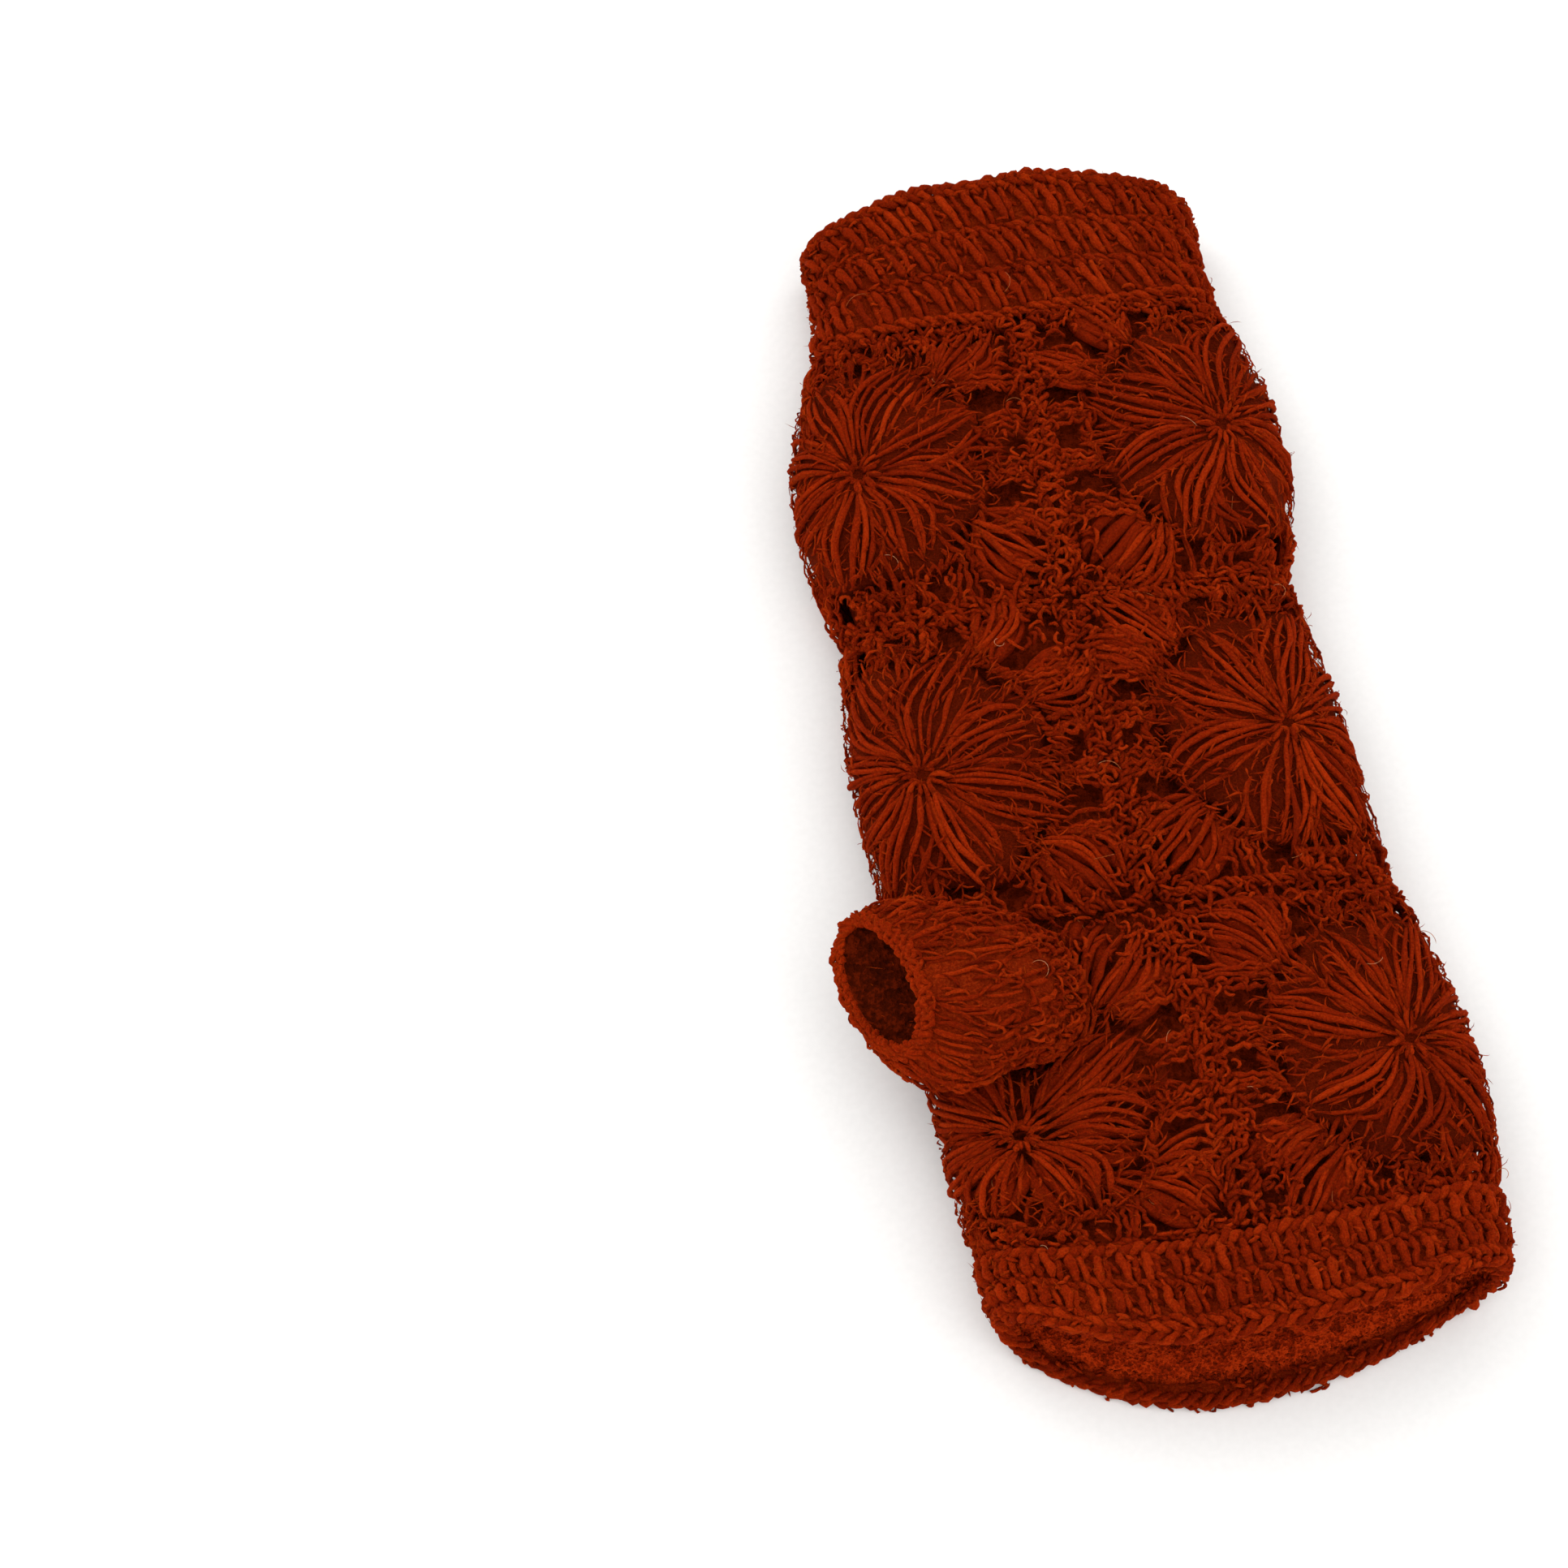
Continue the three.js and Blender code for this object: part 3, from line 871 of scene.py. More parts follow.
    def flower(self) -> None:
        """Lays the petals, the puffs between them, the eye's ring and the stitches that tie them to it."""
        for k in range(self.petals):
            angle = (k + 0.5) * FULL_TURN / self.petals
            fewer = int(self.chance.random() < 0.3)
            self.puff(replace(self.petal, strands=self.petal.strands - fewer), angle)
            if self.shift:
                self.padding(self.petal, angle)
        for k in range(self.petals):
            reach = self.between.reach + self.chance.normal(0, 1.0)
            self.puff(replace(self.between, reach=reach), k * FULL_TURN / self.petals)
        for ply in plied(ring(self.eye_reach, np.linspace(0, FULL_TURN, 46), 2.5), 2, 0.5, 3.4, Twist.Z):
            self.lay(ply, self.ring_strand)
        ties = 2 * self.petals + 3
        for k in range(ties):
            angle = k * FULL_TURN / ties + self.chance.normal(0, 0.14)
            out = np.linspace(1.1, 6.0 + self.chance.normal(0, 1.0), 6)
            self.lay(ring(out, np.full(6, angle), 1.3 + 0.14 * (out - 4.0) ** 2), 0.46, 0.1)

    def matting(self, felt: Material) -> Piece:
        """Makes the matted layer that shows between the petals' loops, its colour painted dark as the shade
        there.

        Args:
            felt: its finish, painted dark as shade.

        Returns:
            The layer, a closed shell that is deeper at the eye and at the petals' tips.
        """
        def at(turn: Points, share: Points) -> Points:
            """Finds a point of the shell, out along its upper side and back along its lower side."""
            petals = np.cos(self.petals * FULL_TURN * turn)
            near = 1 - np.abs(2 * share - 1)
            hollow = 1.4 * (1 - arch(near) ** 0.55)
            level = self.mat_depth + hollow + np.interp(share, [0.5, 0.6], [0, 1.2]) + 0.35 * petals * near
            return self.at(ring(near * (self.petal.reach - 0.6 - 1.6 * petals), FULL_TURN * turn, level))

        return shell(wrapped_grid(48, 22, at), self.node + "_matting", felt)

    def corners(self) -> None:
        """Lays the corner puffs, single or in pairs, as the maker happened to work them."""
        for k in range(4):
            rise, run = self.half_along * (1 if k < 2 else -1), self.half_across * (1 if k % 3 == 0 else -1)
            twin = self.chance.random() < 0.5
            kind = self.corner_twin if twin else self.corner
            for lean in (-self.twin_lean, self.twin_lean) if twin else (0.0,):
                self.puff(kind, math.atan2(rise, run) + lean)
                self.padding(kind, math.atan2(rise, run) + lean)

    def along_side(self, k: int, s: Points, t: Points, depth: Points) -> Points:
        """Turns places on one side of the square into across, along and depth.

        Args:
            k: which side, 0 to 3.
            s: distance along the side from its middle.
            t: distance in from the edge.
            depth: how deep.

        Returns:
            The path.
        """
        s, t, depth = np.broadcast_arrays(*(np.asarray(x, float) for x in (s, t, depth)))
        reach = self.half_across if k % 2 == 0 else self.half_along
        outward = np.array([(1, 0), (0, 1), (-1, 0), (0, -1)][k])
        beside = np.array([-outward[1], outward[0]])
        plane = outward * (reach - t)[..., None] + beside * s[..., None]
        return np.column_stack([plane, depth])

    def side_length(self, k: int) -> float:
        """Half the length of one side of the square."""
        return self.half_along if k % 2 == 0 else self.half_across

    def mesh(self) -> None:
        """Lays the open mesh: chains round the flower and along the border, and posts between them."""
        turn = np.linspace(0, FULL_TURN, 150)
        waves = 1.3 * np.cos(8 * turn) + 0.5 * np.sin(21 * turn)
        for ply in plied(ring(self.flower_reach + waves, turn, 3.0), 3, 0.8, 5.6, Twist.Z):
            self.lay(ply, self.mesh_strand)
        for k in range(4):
            side = self.side_length(k) - 0.9
            s = np.arange(-side, side, 0.9)
            sway = wobble(self.chance, len(s), 0.5) + 0.5 * np.sin(s * 0.9 + self.chance.uniform(0, 6))
            edge = self.along_side(k, s, 1.7 + sway, 2.5 + 0.5 * np.sin(s * 0.7))
            for ply in plied(edge, 3, 0.95, 6.2, Twist.S, self.chance.random() * 6):
                self.lay(ply, self.ring_strand)
            for middle in self.post_places:
                for aside in self.post_strands:
                    self.post(k, middle, aside)

    def post(self, k: int, middle: float, aside: float) -> None:
        """Lays one strand of a post between the flower and the border.

        Args:
            k: which side of the square, 0 to 3.
            middle: where its post stands along that side.
            aside: how far the strand stands from the post's middle.
        """
        foot = middle + aside * self.chance.uniform(0.8, 1.25) + self.chance.normal(0, 0.5)
        head = middle + aside * 0.55 + self.chance.normal(0, 0.5)
        inner = self.side_length(k + 1) - math.sqrt(max(self.posts_from**2 - foot**2, 0)) + 0.3
        t = np.linspace(1.2, max(inner, 5.0), 11)
        wave = self.chance.uniform(0.2, 0.6) * np.sin(t * 2.3 + self.chance.uniform(0, 6))
        s = np.linspace(foot, head, 11) + wobble(self.chance, 11, 0.3) + wave
        level = 1.8 + 0.6 * np.cos(np.linspace(0, FULL_TURN, 11)) + 0.4 * np.cos(t * 2.3)
        self.lay(self.along_side(k, s, t, level), self.mesh_strand, 0.1)

    def count_here(self, count: int) -> int:
        """Gives how many of a square's loose loops or hairs lie on this one, fewer on the hidden side."""
        return count // (self.back_share if self.column is Column.BACK else 1)

    def loops(self) -> None:
        """Scatters the small uneven loops that stand out of the mesh and its border."""
        placed = 0
        t = np.linspace(0, 1, 8)
        while placed < self.count_here(self.curls):
            k = int(self.chance.integers(4))
            side = self.side_length(k)
            beside, inwards = self.chance.uniform(-side + 1, side - 1), abs(self.chance.normal(0, 4.6))
            in_hole = min(abs(beside), abs(abs(beside) - 11.0)) < 1.7 and 3.2 < inwards < 8.5
            if inwards > 13 or in_hole:
                continue
            placed += 1
            first = self.chance.uniform(0, FULL_TURN)
            bend = self.chance.choice([-1, 1]) * self.chance.uniform(1, 4.6)
            step = self.chance.uniform(2.6, 6.4) / len(t)
            s, out = strolled(beside, inwards, first + bend * t, step)
            s, out = np.clip(s, -side + 0.6, side - 0.6), np.clip(out, 0.5, 16)
            level = 1.9 - 1.7 * self.chance.uniform(0.6, 1.0) * arch(t)
            tone = float(self.chance.normal(0, 0.13))
            path = self.at(self.along_side(k, s, out, level))
            self.fine.lay(path, self.chance.uniform(0.3, 0.46), tone)

    def fuzz(self) -> None:
        """Lays the fine hairs and split plies that mat the petals' loops together."""
        t = np.linspace(0, 1, 5)
        for _ in range(self.count_here(self.hairs)):
            angle, out = self.chance.uniform(0, FULL_TURN), 27 * math.sqrt(self.chance.uniform(0.02, 1))
            heading = angle + self.chance.normal(0, 0.5) + self.chance.uniform(-1.6, 1.6) * t
            step = self.chance.uniform(2.5, 7.0) / len(t)
            level = 1.0 + 0.03 * abs(out - 14) - self.chance.uniform(0.3, 0.8) * arch(t)
            walk = strolled(out * math.cos(angle), out * math.sin(angle), heading, step)
            tone = float(self.chance.normal(0, 0.12))
            self.fine.lay(self.at(np.column_stack([*walk, level])), self.chance.uniform(0.13, 0.26), tone)

    def seams(self) -> None:
        """Laces this square to its neighbours along two of its sides."""
        for k in (0, 1):
            side = self.side_length(k) - 1
            s = np.arange(-side, side, 0.9)
            lacing = FULL_TURN * s / self.lace_pitch
            sway = wobble(self.chance, len(s), 0.8)
            t = (2.3 + 0.6 * np.sin(0.5 * s)) * np.sin(lacing + sway) + 0.4 * np.sin(0.8 * s)
            self.lay(self.along_side(k, s, t, 1.7 - 0.6 * np.cos(2 * lacing + sway)), self.seam_strand)

    def build(self, wool: Material, felt: Material) -> list[Piece]:
        """Makes the square's pieces.

        Args:
            wool: the yarn's finish.
            felt: the matted layer's finish, painted dark as the shade between the loops.

        Returns:
            Its yarn, standing for its solid, its fine curls and, where no sleeve goes in, its matting.
        """
        self.flower()
        self.corners()
        self.mesh()
        self.loops()
        self.fuzz()
        self.seams()
        pieces = [self.yarn.build(self.node + "_yarn", wool), self.fine.build(self.node + "_curls", wool)]
        if not self.shift:
            pieces.append(self.matting(felt))
        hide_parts(self.node)
        return pieces


@dataclass
class StitchedRounds(YarnPiece):
    """Rounds of tall stitches between two places along the glove, with a chain where two rounds meet."""

    node: str
    start: float
    end: float
    rounds: int
    stitch: float
    slant: float
    wall: float
    seed: int
    backing_edge: float = 0.4
    post_radius: float = 0.92
    wrap_radius: float = 0.68
    hook_radius: float = 0.52

    def __post_init__(self) -> None:
        """Starts the piece and finds the way once round it."""
        self.begin(self.seed)
        self.around = self.form.round_length((self.start + self.end) / 2)

    def at(self, path: Points) -> Points:
        """Lays a path of millimetres round, along and depth onto the glove."""
        return self.form.place(path[:, 0] / self.around, path[:, 1], path[:, 2])

    def chain(self, along: float, depth: float, offset: float, pitch: float, radius: float,
              twist: Twist) -> None:
        """Lays a chain of two twisted plies once round the glove.

        Args:
            along: its distance from the finger end.
            depth: how deep its middle lies.
            offset: how far its plies lie from its middle.
            pitch: one whole turn of them.
            radius: the radius of one.
            twist: which way they wind.
        """
        turns = max(1, round(self.around / pitch))
        s = np.linspace(0, self.around * 1.004, turns * 9)
        drift = 0.35 * np.sin(FULL_TURN * s / self.around * 7)
        path = np.column_stack([s, along + drift, np.full(len(s), depth)])
        for ply in plied(path, 2, offset, self.around / turns, twist):
            self.lay(ply, radius)

    def stitches(self) -> None:
        """Lays each round's posts: a thick strand with a thinner one that wraps over it."""
        pitch = (self.end - self.start) / self.rounds
        count = round(self.around / self.stitch)
        for k in range(self.rounds):
            low = self.start + k * pitch
            for i in range(count):
                s = (i + 0.5 * (k % 2)) * self.around / count + self.chance.normal(0, 0.25)
                t = np.linspace(0, 1, 9)
                along = low + pitch * (0.02 + 0.98 * t)
                lean = self.slant * (1 + self.chance.normal(0, 0.12))
                across = s + lean * (0.5 - t) + wobble(self.chance, 9, 0.22)
                depth = 1.3 - 0.75 * arch(t) + wobble(self.chance, 9, 0.1)
                radius = self.post_radius * (0.88 + 0.15 * arch(t))
                self.lay(np.column_stack([across, along, depth]), radius)
                across = s + self.stitch * 0.42 + lean * 0.7 * (0.5 - t) + wobble(self.chance, 9, 0.25)
                self.lay(np.column_stack([across, along, depth + 0.45]), self.wrap_radius)
                hook = s + self.stitch * (0.1 + 0.75 * t)
                rise = low + pitch * (0.78 - 0.35 * t) + self.chance.normal(0, 0.4)
                self.lay(np.column_stack([hook, rise, 0.85 + 0.9 * t]), self.hook_radius, 0.1)
            self.chain(low, 1.9, 0.7, self.stitch, 0.7, Twist.S)

    def tufts(self, count: int, low: float, high: float, level: float = 1.1, lift: float = 1.1) -> None:
        """Scatters short curved ends and small loops that break up the stitches.

        Args:
            count: how many.
            low: the nearest to the fingers that they lie.
            high: the furthest.
            level: how deep their ends lie.
            lift: how far their middles stand out from there.
        """
        t = np.linspace(0, 1, 6)
        for _ in range(count):
            heading = self.chance.uniform(0, FULL_TURN) + self.chance.uniform(-1.6, 1.6) * t
            step = self.chance.uniform(2.0, 4.4) / len(t)
            start = self.chance.uniform(0, self.around), self.chance.uniform(low, high)
            across, along = strolled(*start, heading, step)
            along = np.clip(along, low - 0.4, high + 0.4)
            path = np.column_stack([across, along, level - lift * arch(t)])
            radius = self.chance.uniform(0.25, 0.42)
            self.fine.lay(self.at(path), radius, float(self.chance.normal(0, 0.13)))

    def edging(self) -> None:
        """Lays what goes along the edges of the rounds."""
        raise NotImplementedError

    def backing(self, felt: Material) -> Piece:
        """Makes the matted inner side of the rounds, which closes them behind the strands.

        Args:
            felt: its finish, set darker than the yarn as painted shade behind the stitches.

        Returns:
            The backing.
        """
        low, high = self.start - self.backing_edge, self.end + 0.6
        steps = [0, 0.45, 0.5, 0.95, 1]

        def at(turn: Points, share: Points) -> Points:
            """Finds a point of the closed backing."""
            along = np.interp(share, steps, [low, high, high, low, low])
            depth = np.interp(share, steps, [1.9, 1.9, self.wall, self.wall, 1.9])
            return self.form.place(turn, along, depth)

        return shell(wrapped_grid(120, 24, at), self.node + "_backing", felt)

    def build(self, wool: Material, felt: Material) -> list[Piece]:
        """Makes the pieces.

        Args:
            wool: the yarn's finish.
            felt: the backing's finish, set darker than the yarn as painted shade behind the stitches.

        Returns:
            The strands, the fine tufts and the backing.
        """
        self.stitches()
        self.edging()
        pieces = [self.yarn.build(self.node + "_yarn", wool), self.fine.build(self.node + "_tufts", wool),
                  self.backing(felt)]
        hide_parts(self.node)
        return pieces


@dataclass
class WristCuff(StitchedRounds):
    """The wrist cuff: three rounds of slanted tall stitches on a thin foundation chain."""

    chain_edge: float = 2.5

    def edging(self) -> None:
        """Lays the tufts and the foundation chain."""
        self.tufts(480, self.start, self.end + 1.5)
        self.chain(self.end + 0.2, 1.5, 0.7, self.stitch, 0.8, Twist.S)
        self.chain(self.end + self.chain_edge - 1.0, 1.5, 0.62, self.stitch, 0.78, Twist.Z)


@dataclass
class FingerBand(StitchedRounds):
    """The finger band: two rounds of upright stitches and a thick rope-like bound-off edge."""

    backing_edge: float = 3.6
    bound_edge: float = 5.0

    def edging(self) -> None:
        """Lays the bound-off edge with its tufts, the drooping loop and the chain to the squares."""
        self.chain(self.bound_edge * 0.3, 1.9, 0.75, 5.4, 0.74, Twist.Z)
        self.chain(self.bound_edge * 0.75, 1.5, 0.75, 5.4, 0.74, Twist.S)
        self.chain(self.bound_edge * 0.35, 3.3, 0.65, 5.0, 0.66, Twist.Z)
        self.tufts(330, self.start - 4.5, self.end)
        self.tufts(120, self.start - 4.6, self.start, 1.2, 0.7)
        self.tufts(240, self.start - 4.6, self.start - 0.4, 3.4, -1.1)
        t = np.linspace(0, 1, 16)
        drooping = np.column_stack([2 + 10.5 * t, 1.6 - 3.6 * arch(t) ** 0.8, 2.2 + 0.8 * t])
        self.lay(drooping, 0.3, 0.0)
        self.chain(self.end - 0.2, 1.6, 0.7, self.stitch, 0.85, Twist.Z)


@dataclass
class ThumbSleeve(YarnPiece):
    """The plain thumb sleeve: close short stitches on a matted body, with a chained rim."""

    node: str = "thumb_sleeve"
    wall: float = 2.8
    rounds: int = 6
    stitch: float = 3.1
    tangle: int = 800
    share_mm: float = 30.0
    strand: float = 0.56
    chain_pitch: float = 4.4
    seed: int = 77

    def __post_init__(self) -> None:
        """Starts the sleeve and finds the way once round it."""
        self.begin(self.seed, holed=False)
        self.around = math.pi * (self.form.thumb_span + self.form.thumb_width) / 2

    def at(self, path: Points) -> Points:
        """Lays a path of millimetres round, share from root to mouth, and inset onto the sleeve."""
        return self.form.sleeve_skin(path[:, 1], FULL_TURN * path[:, 0] / self.around, path[:, 2])

    def stitches(self) -> None:
        """Lays short slanted stitches in rounds from the root to the mouth."""
        count = round(self.around / self.stitch)
        for k in range(self.rounds):
            low = 0.06 + 0.9 * k / self.rounds
            for i in range(count):
                s = (i + 0.5 * (k % 2)) * self.around / count + self.chance.normal(0, 0.5)
                t = np.linspace(0, 1, 8)
                lean = self.chance.normal(1.6, 1.3)
                across = s + lean * (t - 0.5) + wobble(self.chance, 8, 0.3)
                share = low + 0.9 / self.rounds * (1.25 * t - 0.1) + self.chance.normal(0, 0.012)
                inset = 1.35 - 0.75 * arch(t) + wobble(self.chance, 8, 0.1)
                tone = float(self.chance.normal(-0.02, 0.07))
                path = np.column_stack([across, np.clip(share, 0, 0.97), inset])
                self.yarn.lay(self.at(path), self.strand, tone)
        t = np.linspace(0, 1, 7)
        for _ in range(self.tangle):
            heading = self.chance.uniform(0, FULL_TURN) + self.chance.uniform(-3.4, 3.4) * t
            step = self.chance.uniform(2.2, 5.4) / len(t)
            across, up = strolled(self.chance.uniform(0, self.around), 0.0, heading, step)
            share = self.chance.uniform(0.08, 0.96) + up / self.share_mm
            path = np.column_stack([across, np.clip(share, 0, 0.98), 0.9 - 1.2 * arch(t)])
            radius = self.chance.uniform(0.24, 0.42)
            self.fine.lay(self.at(path), radius, float(self.chance.normal(-0.02, 0.13)))

    def rim(self) -> None:
        """Lays the chain round the mouth and the one that sews the root to the palm."""
        turns = round(self.around / self.chain_pitch)
        # share, inset, offset and radius of each chain
        chains = ((0.985, 1.1, 0.4, 0.64), (0.99, 2.2, 0.4, 0.6), (0.2, 0.7, 0.6, 0.6))
        for share, inset, offset, radius in chains:
            s = np.linspace(0, self.around * 1.004, turns * 9)
            path = np.column_stack([s, np.full(len(s), share), np.full(len(s), inset)])
            gone = FULL_TURN * turns * s / self.around
            for phase in (0.0, np.pi):
                ply = path.copy()
                ply[:, 1] += offset * np.cos(gone + phase) / self.share_mm
                ply[:, 2] += offset * np.sin(gone + phase)
                self.yarn.lay(self.at(ply), radius, 0.06)

    def body(self, felt: Material, painted_shade_finish: Material) -> Piece:
        """Makes the matted body that the stitches lie on.

        Args:
            felt: its outer finish, set darker than the yarn as painted shade between the stitches.
            painted_shade_finish: the finish of its hollow, painted dark as the shade inside it.

        Returns:
            The body, a closed shell.
        """
        def at(turn: Points, share: Points) -> Points:
            """Finds a point of the closed shell, out along its skin and back along its inside."""
            steps = [0, 0.46, 0.5, 0.96, 1]
            reach = np.interp(share, steps, [0, 0.985, 0.985, 0, 0])
            inset = np.interp(share, steps, [1.2, 1.2, self.wall, self.wall, 1.2])
            return self.form.sleeve_skin(reach, FULL_TURN * turn, inset)

        return shell(wrapped_grid(72, 50, at, inner=(0.5, 0.96)), self.node + "_body", felt, painted_shade_finish)

    def build(self, wool: Material, felt: Material,
              painted_shade_finish: Material) -> list[Piece]:
        """Makes the sleeve's pieces.

        Args:
            wool: the yarn's finish.
            felt: the body's finish, set darker than the yarn as painted shade between the stitches.
            painted_shade_finish: the finish of its hollow, painted dark as the shade inside it.

        Returns:
            Its strands and its body.
        """
        self.stitches()
        self.rim()
        pieces = [self.yarn.build(self.node + "_yarn", wool), self.fine.build(self.node + "_tangle", wool),
                  self.body(felt, painted_shade_finish)]
        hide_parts(self.node)
        return pieces


@dataclass
class FleeceLining:
    """The fleece lining: a sewn tube inside the crochet, with a hole where the thumb goes in."""

    form: GloveForm
    node: str = "lining"
    wall: float = 1.5
    inset: float = 4.0
    depth: float = 5.2
    end_depth: float = 4.0
    turn_in: float = 7.0

    def build(self, fleece: Material, painted_shade_finish: Material) -> Piece:
        """Makes the lining.

        Args:
            fleece: its brushed side's finish.
            painted_shade_finish: the finish of its outer side, painted dark as the shade where it shows
                through the crochet.

        Returns:
            The lining, with its thickness.
        """
        length, squares_end = self.form.length, self.form.length - self.form.cuff_depth
        places = [self.inset, self.form.band_depth - self.turn_in, self.form.band_depth,
                  squares_end, squares_end + self.turn_in, length - self.inset]
        depths = [self.end_depth, self.end_depth, self.depth, self.depth, self.end_depth, self.end_depth]

        def at(turn: Points, share: Points) -> Points:
            """Finds a point of the lining, out along its outer side, painted dark as shade, and back along
            its brushed side.
            """
            along = self.inset + np.interp(share, [0, 0.5, 1], [0, 1, 0]) * (length - 2 * self.inset)
            crease = 0.3 * np.sin(9 * FULL_TURN * turn + 0.04 * along) * np.sin(0.11 * along)
            back = np.where((share > 0.497) & (share < 0.9999), self.wall, 0.0)
            return self.form.place(turn, along, np.interp(along, places, depths) + crease + back)

        shape = wrapped_grid(84, 130, at, inner=(0.5, 1.0))
        centres = np.array([face.calc_center_median() for face in shape.faces])
        holed = self.form.in_thumb_hole(centres, -1.0)
        faces = [face for face, inside in zip(shape.faces, holed) if inside]
        bmesh.ops.delete(shape, geom=faces, context="FACES")
        rims = [edge for edge in shape.edges if edge.is_boundary]
        bmesh.ops.bridge_loops(shape, edges=rims)
        piece = shell(shape, "fleece_lining", painted_shade_finish, fleece)
        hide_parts(self.node)
        return piece


@dataclass
class LooseFibres:
    """Fine fibres that stand off the yarn, and a little lint caught in them."""

    form: GloveForm
    count: int = 5000
    radius: float = 0.07
    reach: float = 3.0
    lint_count: int = 70
    lint_radius: float = 0.06
    above_floor: float = 0.2
    centre: tuple[float, float, float] = (0.0, 0.0, 0.011)
    seed: int = 5

    def build(self, sources: Sequence[Yarn], wool: Material,
              pale: Material) -> list[Piece]:
        """Makes the fibres and the lint.

        Args:
            sources: the yarn that they stand off.
            wool: the fibres' finish.
            pale: the lint's finish.

        Returns:
            The two pieces.
        """
        chance = np.random.default_rng(self.seed)
        yarn, lint = Yarn(self.form, sides=4, holed=False), Yarn(self.form, sides=4, holed=False)
        strands = [pair for source in sources for pair in zip(source.strands, source.thickness)]
        t = np.linspace(0, 1, 4)[:, None]
        for _ in range(self.count):
            points, radii = strands[int(chance.integers(len(strands)))]
            k = int(chance.integers(1, len(points) - 1))
            heading = points[k + 1] - points[k - 1]
            heading /= max(np.linalg.norm(heading), 1e-9)
            away = (points[k] - self.centre) * (0.12, 0.024, 1.0)
            away /= max(np.linalg.norm(away), 1e-9)
            start = points[k] + away * radii[k] * 0.8 * MM
            drift = chance.normal(0, 1, 3)
            drift /= np.linalg.norm(drift)
            reach = chance.uniform(0.3, 1.0) * self.reach * MM
            curl = chance.normal(0, 0.35, 3)
            bent = 0.42 * t * (heading + drift) + 0.28 * np.sin(np.pi * t * 0.8) * away + t * t * curl
            path = start + reach * bent
            path[:, 2] = np.clip(path[:, 2], self.above_floor * MM, None)
            # tones centred 0.1 above the yarn: fibre tips painted lighter as sheen
            yarn.lay(path, self.radius, float(chance.normal(0.1, 0.12)), blunt=True)
        for _ in range(self.lint_count):
            points, radii = strands[int(chance.integers(len(strands)))]
            k = int(chance.integers(1, len(points) - 1))
            heading = chance.uniform(0, FULL_TURN) + chance.uniform(-5, 5) * np.linspace(0, 1, 10)
            across, along = strolled(0.0, 0.0, heading, chance.uniform(2.0, 7.0) / 10 * MM)
            lift = (radii[k] + 0.25 + 0.5 * np.sin(np.linspace(0, 3, 10))) * MM
            lint.lay(points[k] + np.column_stack([across, along, lift]), self.lint_radius,
                     float(chance.normal(0, 0.1)), blunt=True)
        return [yarn.build("loose_fibres", wool), lint.build("lint", pale)]


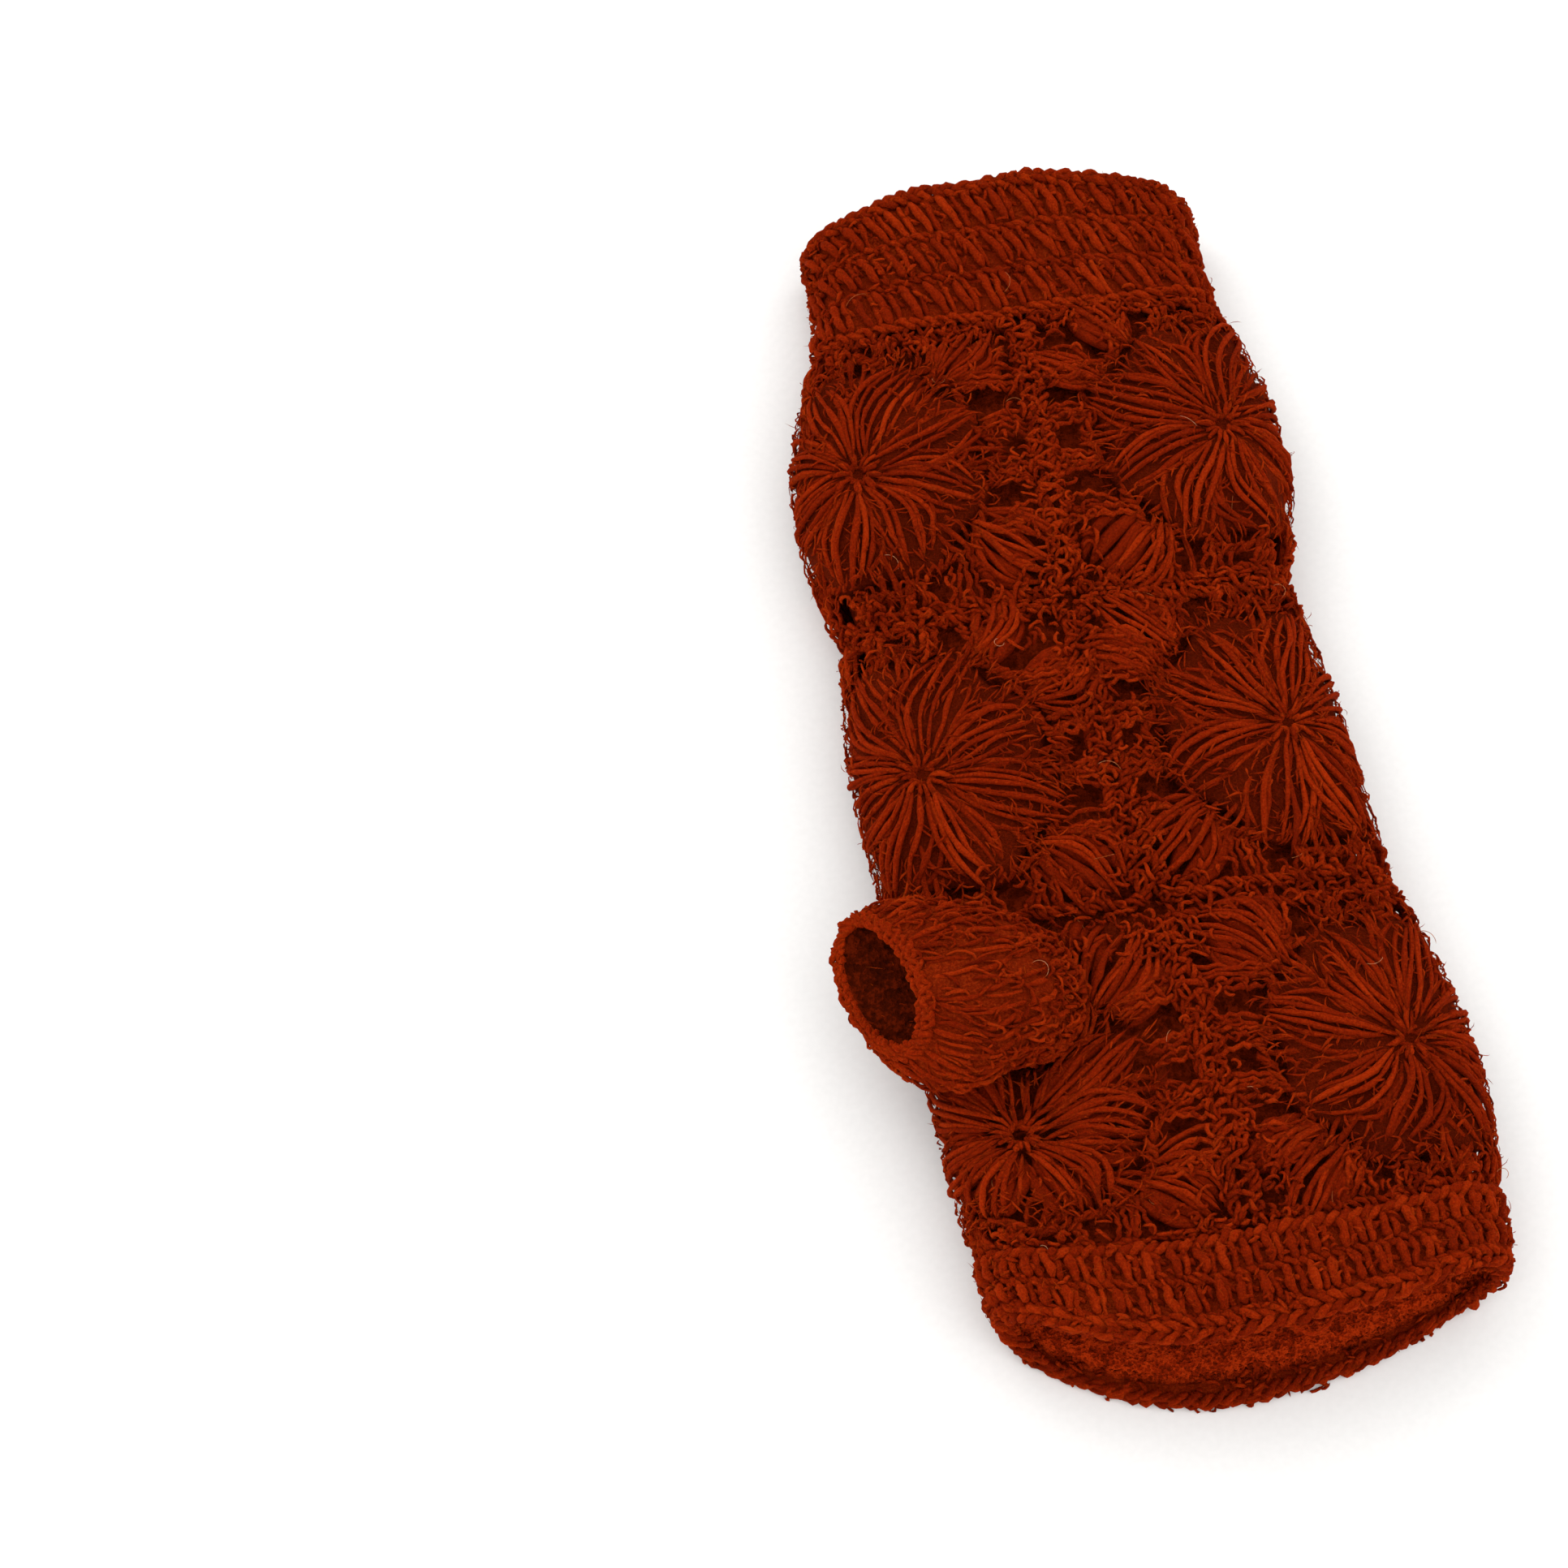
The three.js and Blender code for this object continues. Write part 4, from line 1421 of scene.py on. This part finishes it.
@dataclass(frozen=True)
class Studio:
    """The floor, the soft light and the camera at the photograph's angle."""

    target: tuple[float, float, float] = (-0.0597, 0.0060, 0.0)
    azimuth: float = -9.05
    elevation: float = 65.0
    distance: float = 0.6749
    view_deg: float = 26.0
    sensor: float = 36.0
    floor_half: float = 2.5
    room_light: float = 1.2

    def build(self, paper: Material) -> None:
        """Makes the floor, lights and camera.

        Args:
            paper: the floor's finish.
        """
        shape = bmesh.new()
        bmesh.ops.create_grid(shape, x_segments=2, y_segments=2, size=self.floor_half)
        shell(shape, "floor", paper)
        scene = bpy.context.scene
        scene.view_settings.view_transform = "Standard"
        world = bpy.data.worlds.new("soft_room")
        world.use_nodes = True
        sky = world.node_tree.nodes["Background"].inputs
        sky["Color"].default_value = (1, 1, 1, 1)
        sky["Strength"].default_value = self.room_light
        scene.world = world
        self.lamp("window_light", (-0.9, 0.9, 1.3), 1.1, 6.0)
        self.lamp("fill_light", (0.9, -0.7, 1.2), 1.4, 2.5)
        azimuth, elevation = math.radians(self.azimuth), math.radians(self.elevation)
        back = Vector((math.sin(azimuth) * math.cos(elevation), -math.cos(azimuth) * math.cos(elevation),
                       math.sin(elevation)))
        data = bpy.data.cameras.new("camera")
        data.sensor_width = self.sensor
        data.lens = self.sensor / 2 / math.tan(math.radians(self.view_deg / 2))
        data.clip_start, data.clip_end = 0.01, 20
        camera = bpy.data.objects.new("camera", data)
        camera.location = Vector(self.target) + back * self.distance
        camera.rotation_mode = "QUATERNION"
        camera.rotation_quaternion = (-back).to_track_quat("-Z", "Y")
        scene.collection.objects.link(camera)
        scene.camera = camera

    def lamp(self, name: str, place: Sequence[float], size: float, watts: float) -> None:
        """Adds a large soft lamp that faces the glove.

        Args:
            name: the lamp's name.
            place: where it stands, in metres.
            size: the side of its square face.
            watts: its power.
        """
        light = bpy.data.lights.new(name, "AREA")
        light.shape = "SQUARE"
        light.size = size
        light.energy = watts
        lamp = bpy.data.objects.new(name, light)
        lamp.location = place
        lamp.rotation_mode = "QUATERNION"
        lamp.rotation_quaternion = (-Vector(place)).to_track_quat("-Z", "Y")
        bpy.context.scene.collection.objects.link(lamp)


def report(pieces: Sequence[Piece]) -> None:
    """Lets pieces ride with the glove and says how large each mesh is."""
    for piece in pieces:
        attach(piece, "root")
        piece.data.calc_loop_triangles()
        log.info("%s: %d triangles", piece.name, len(piece.data.loop_triangles))


def main() -> None:
    """Builds the glove's looks and its stage, piece by piece."""
    logging.basicConfig(level=logging.INFO, format="%(message)s")
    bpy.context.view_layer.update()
    form = GloveForm()
    wool = BulkyWool().make()
    # the matted layer under the cuff, band and sleeve stitches: real, but set darker than the yarn as painted
    # shade between them
    felt = BulkyWool(name="matted_wool", deep="#561301", body="#7a1d02", bright="#a2330a").make()
    # the matting under the petals: colour painted dark as the shade between the loops
    shade_painted_mat = BulkyWool(name="shaded_wool_mat", deep="#3e0c00", body="#541201", bright="#741c03").make()
    pale = BulkyWool(name="pale_lint", deep="#a8441c", body="#c8673c", bright="#e09a78").make()
    fleece = BrushedFleece().make()
    # the lining's outer side: fleece painted dark as the shade seen through the crochet's holes
    painted_shade_finish = BrushedFleece(name="fleece_in_painted_shade", deep="#4c1100", body="#641801", worn="#7a2004",
                           halo="#802404", sheen=0.05, pile_mm=0.8).make()
    # the sleeve's hollow: colour painted dark as the shade inside it
    hollow = BrushedFleece(name="matted_wool_in_shade", deep="#2c0700", body="#3e0c00", worn="#541301",
                           halo="#802404", sheen=0.0, pile_mm=0.8).make()
    sources = []
    for row in Row:
        for column in Column:
            square = FlowerSquare(form, row, column)
            report(square.build(wool, shade_painted_mat))
            sources.append(square.yarn)
    squares_end = form.length - form.cuff_depth
    cuff = WristCuff(form, "wrist_cuff", squares_end + 0.8, form.length - 2.5, 3, 5.3, 4.6, 3.4, 51)
    band = FingerBand(form, "finger_band", 5.0, form.band_depth - 0.8, 2, 4.4, 0.8, 3.6, 52)
    sleeve = ThumbSleeve(form)
    for part in (cuff, band, sleeve):
        pieces = part.build(wool, felt, hollow) if part is sleeve else part.build(wool, felt)
        report(pieces)
        sources.append(part.yarn)
    lining = FleeceLining(form).build(fleece, painted_shade_finish)
    report([lining])
    fibres = LooseFibres(form).build(sources, wool, pale)
    report(fibres)
    Studio().build(PaperBackdrop().make())


if __name__ == "__main__":
    main()
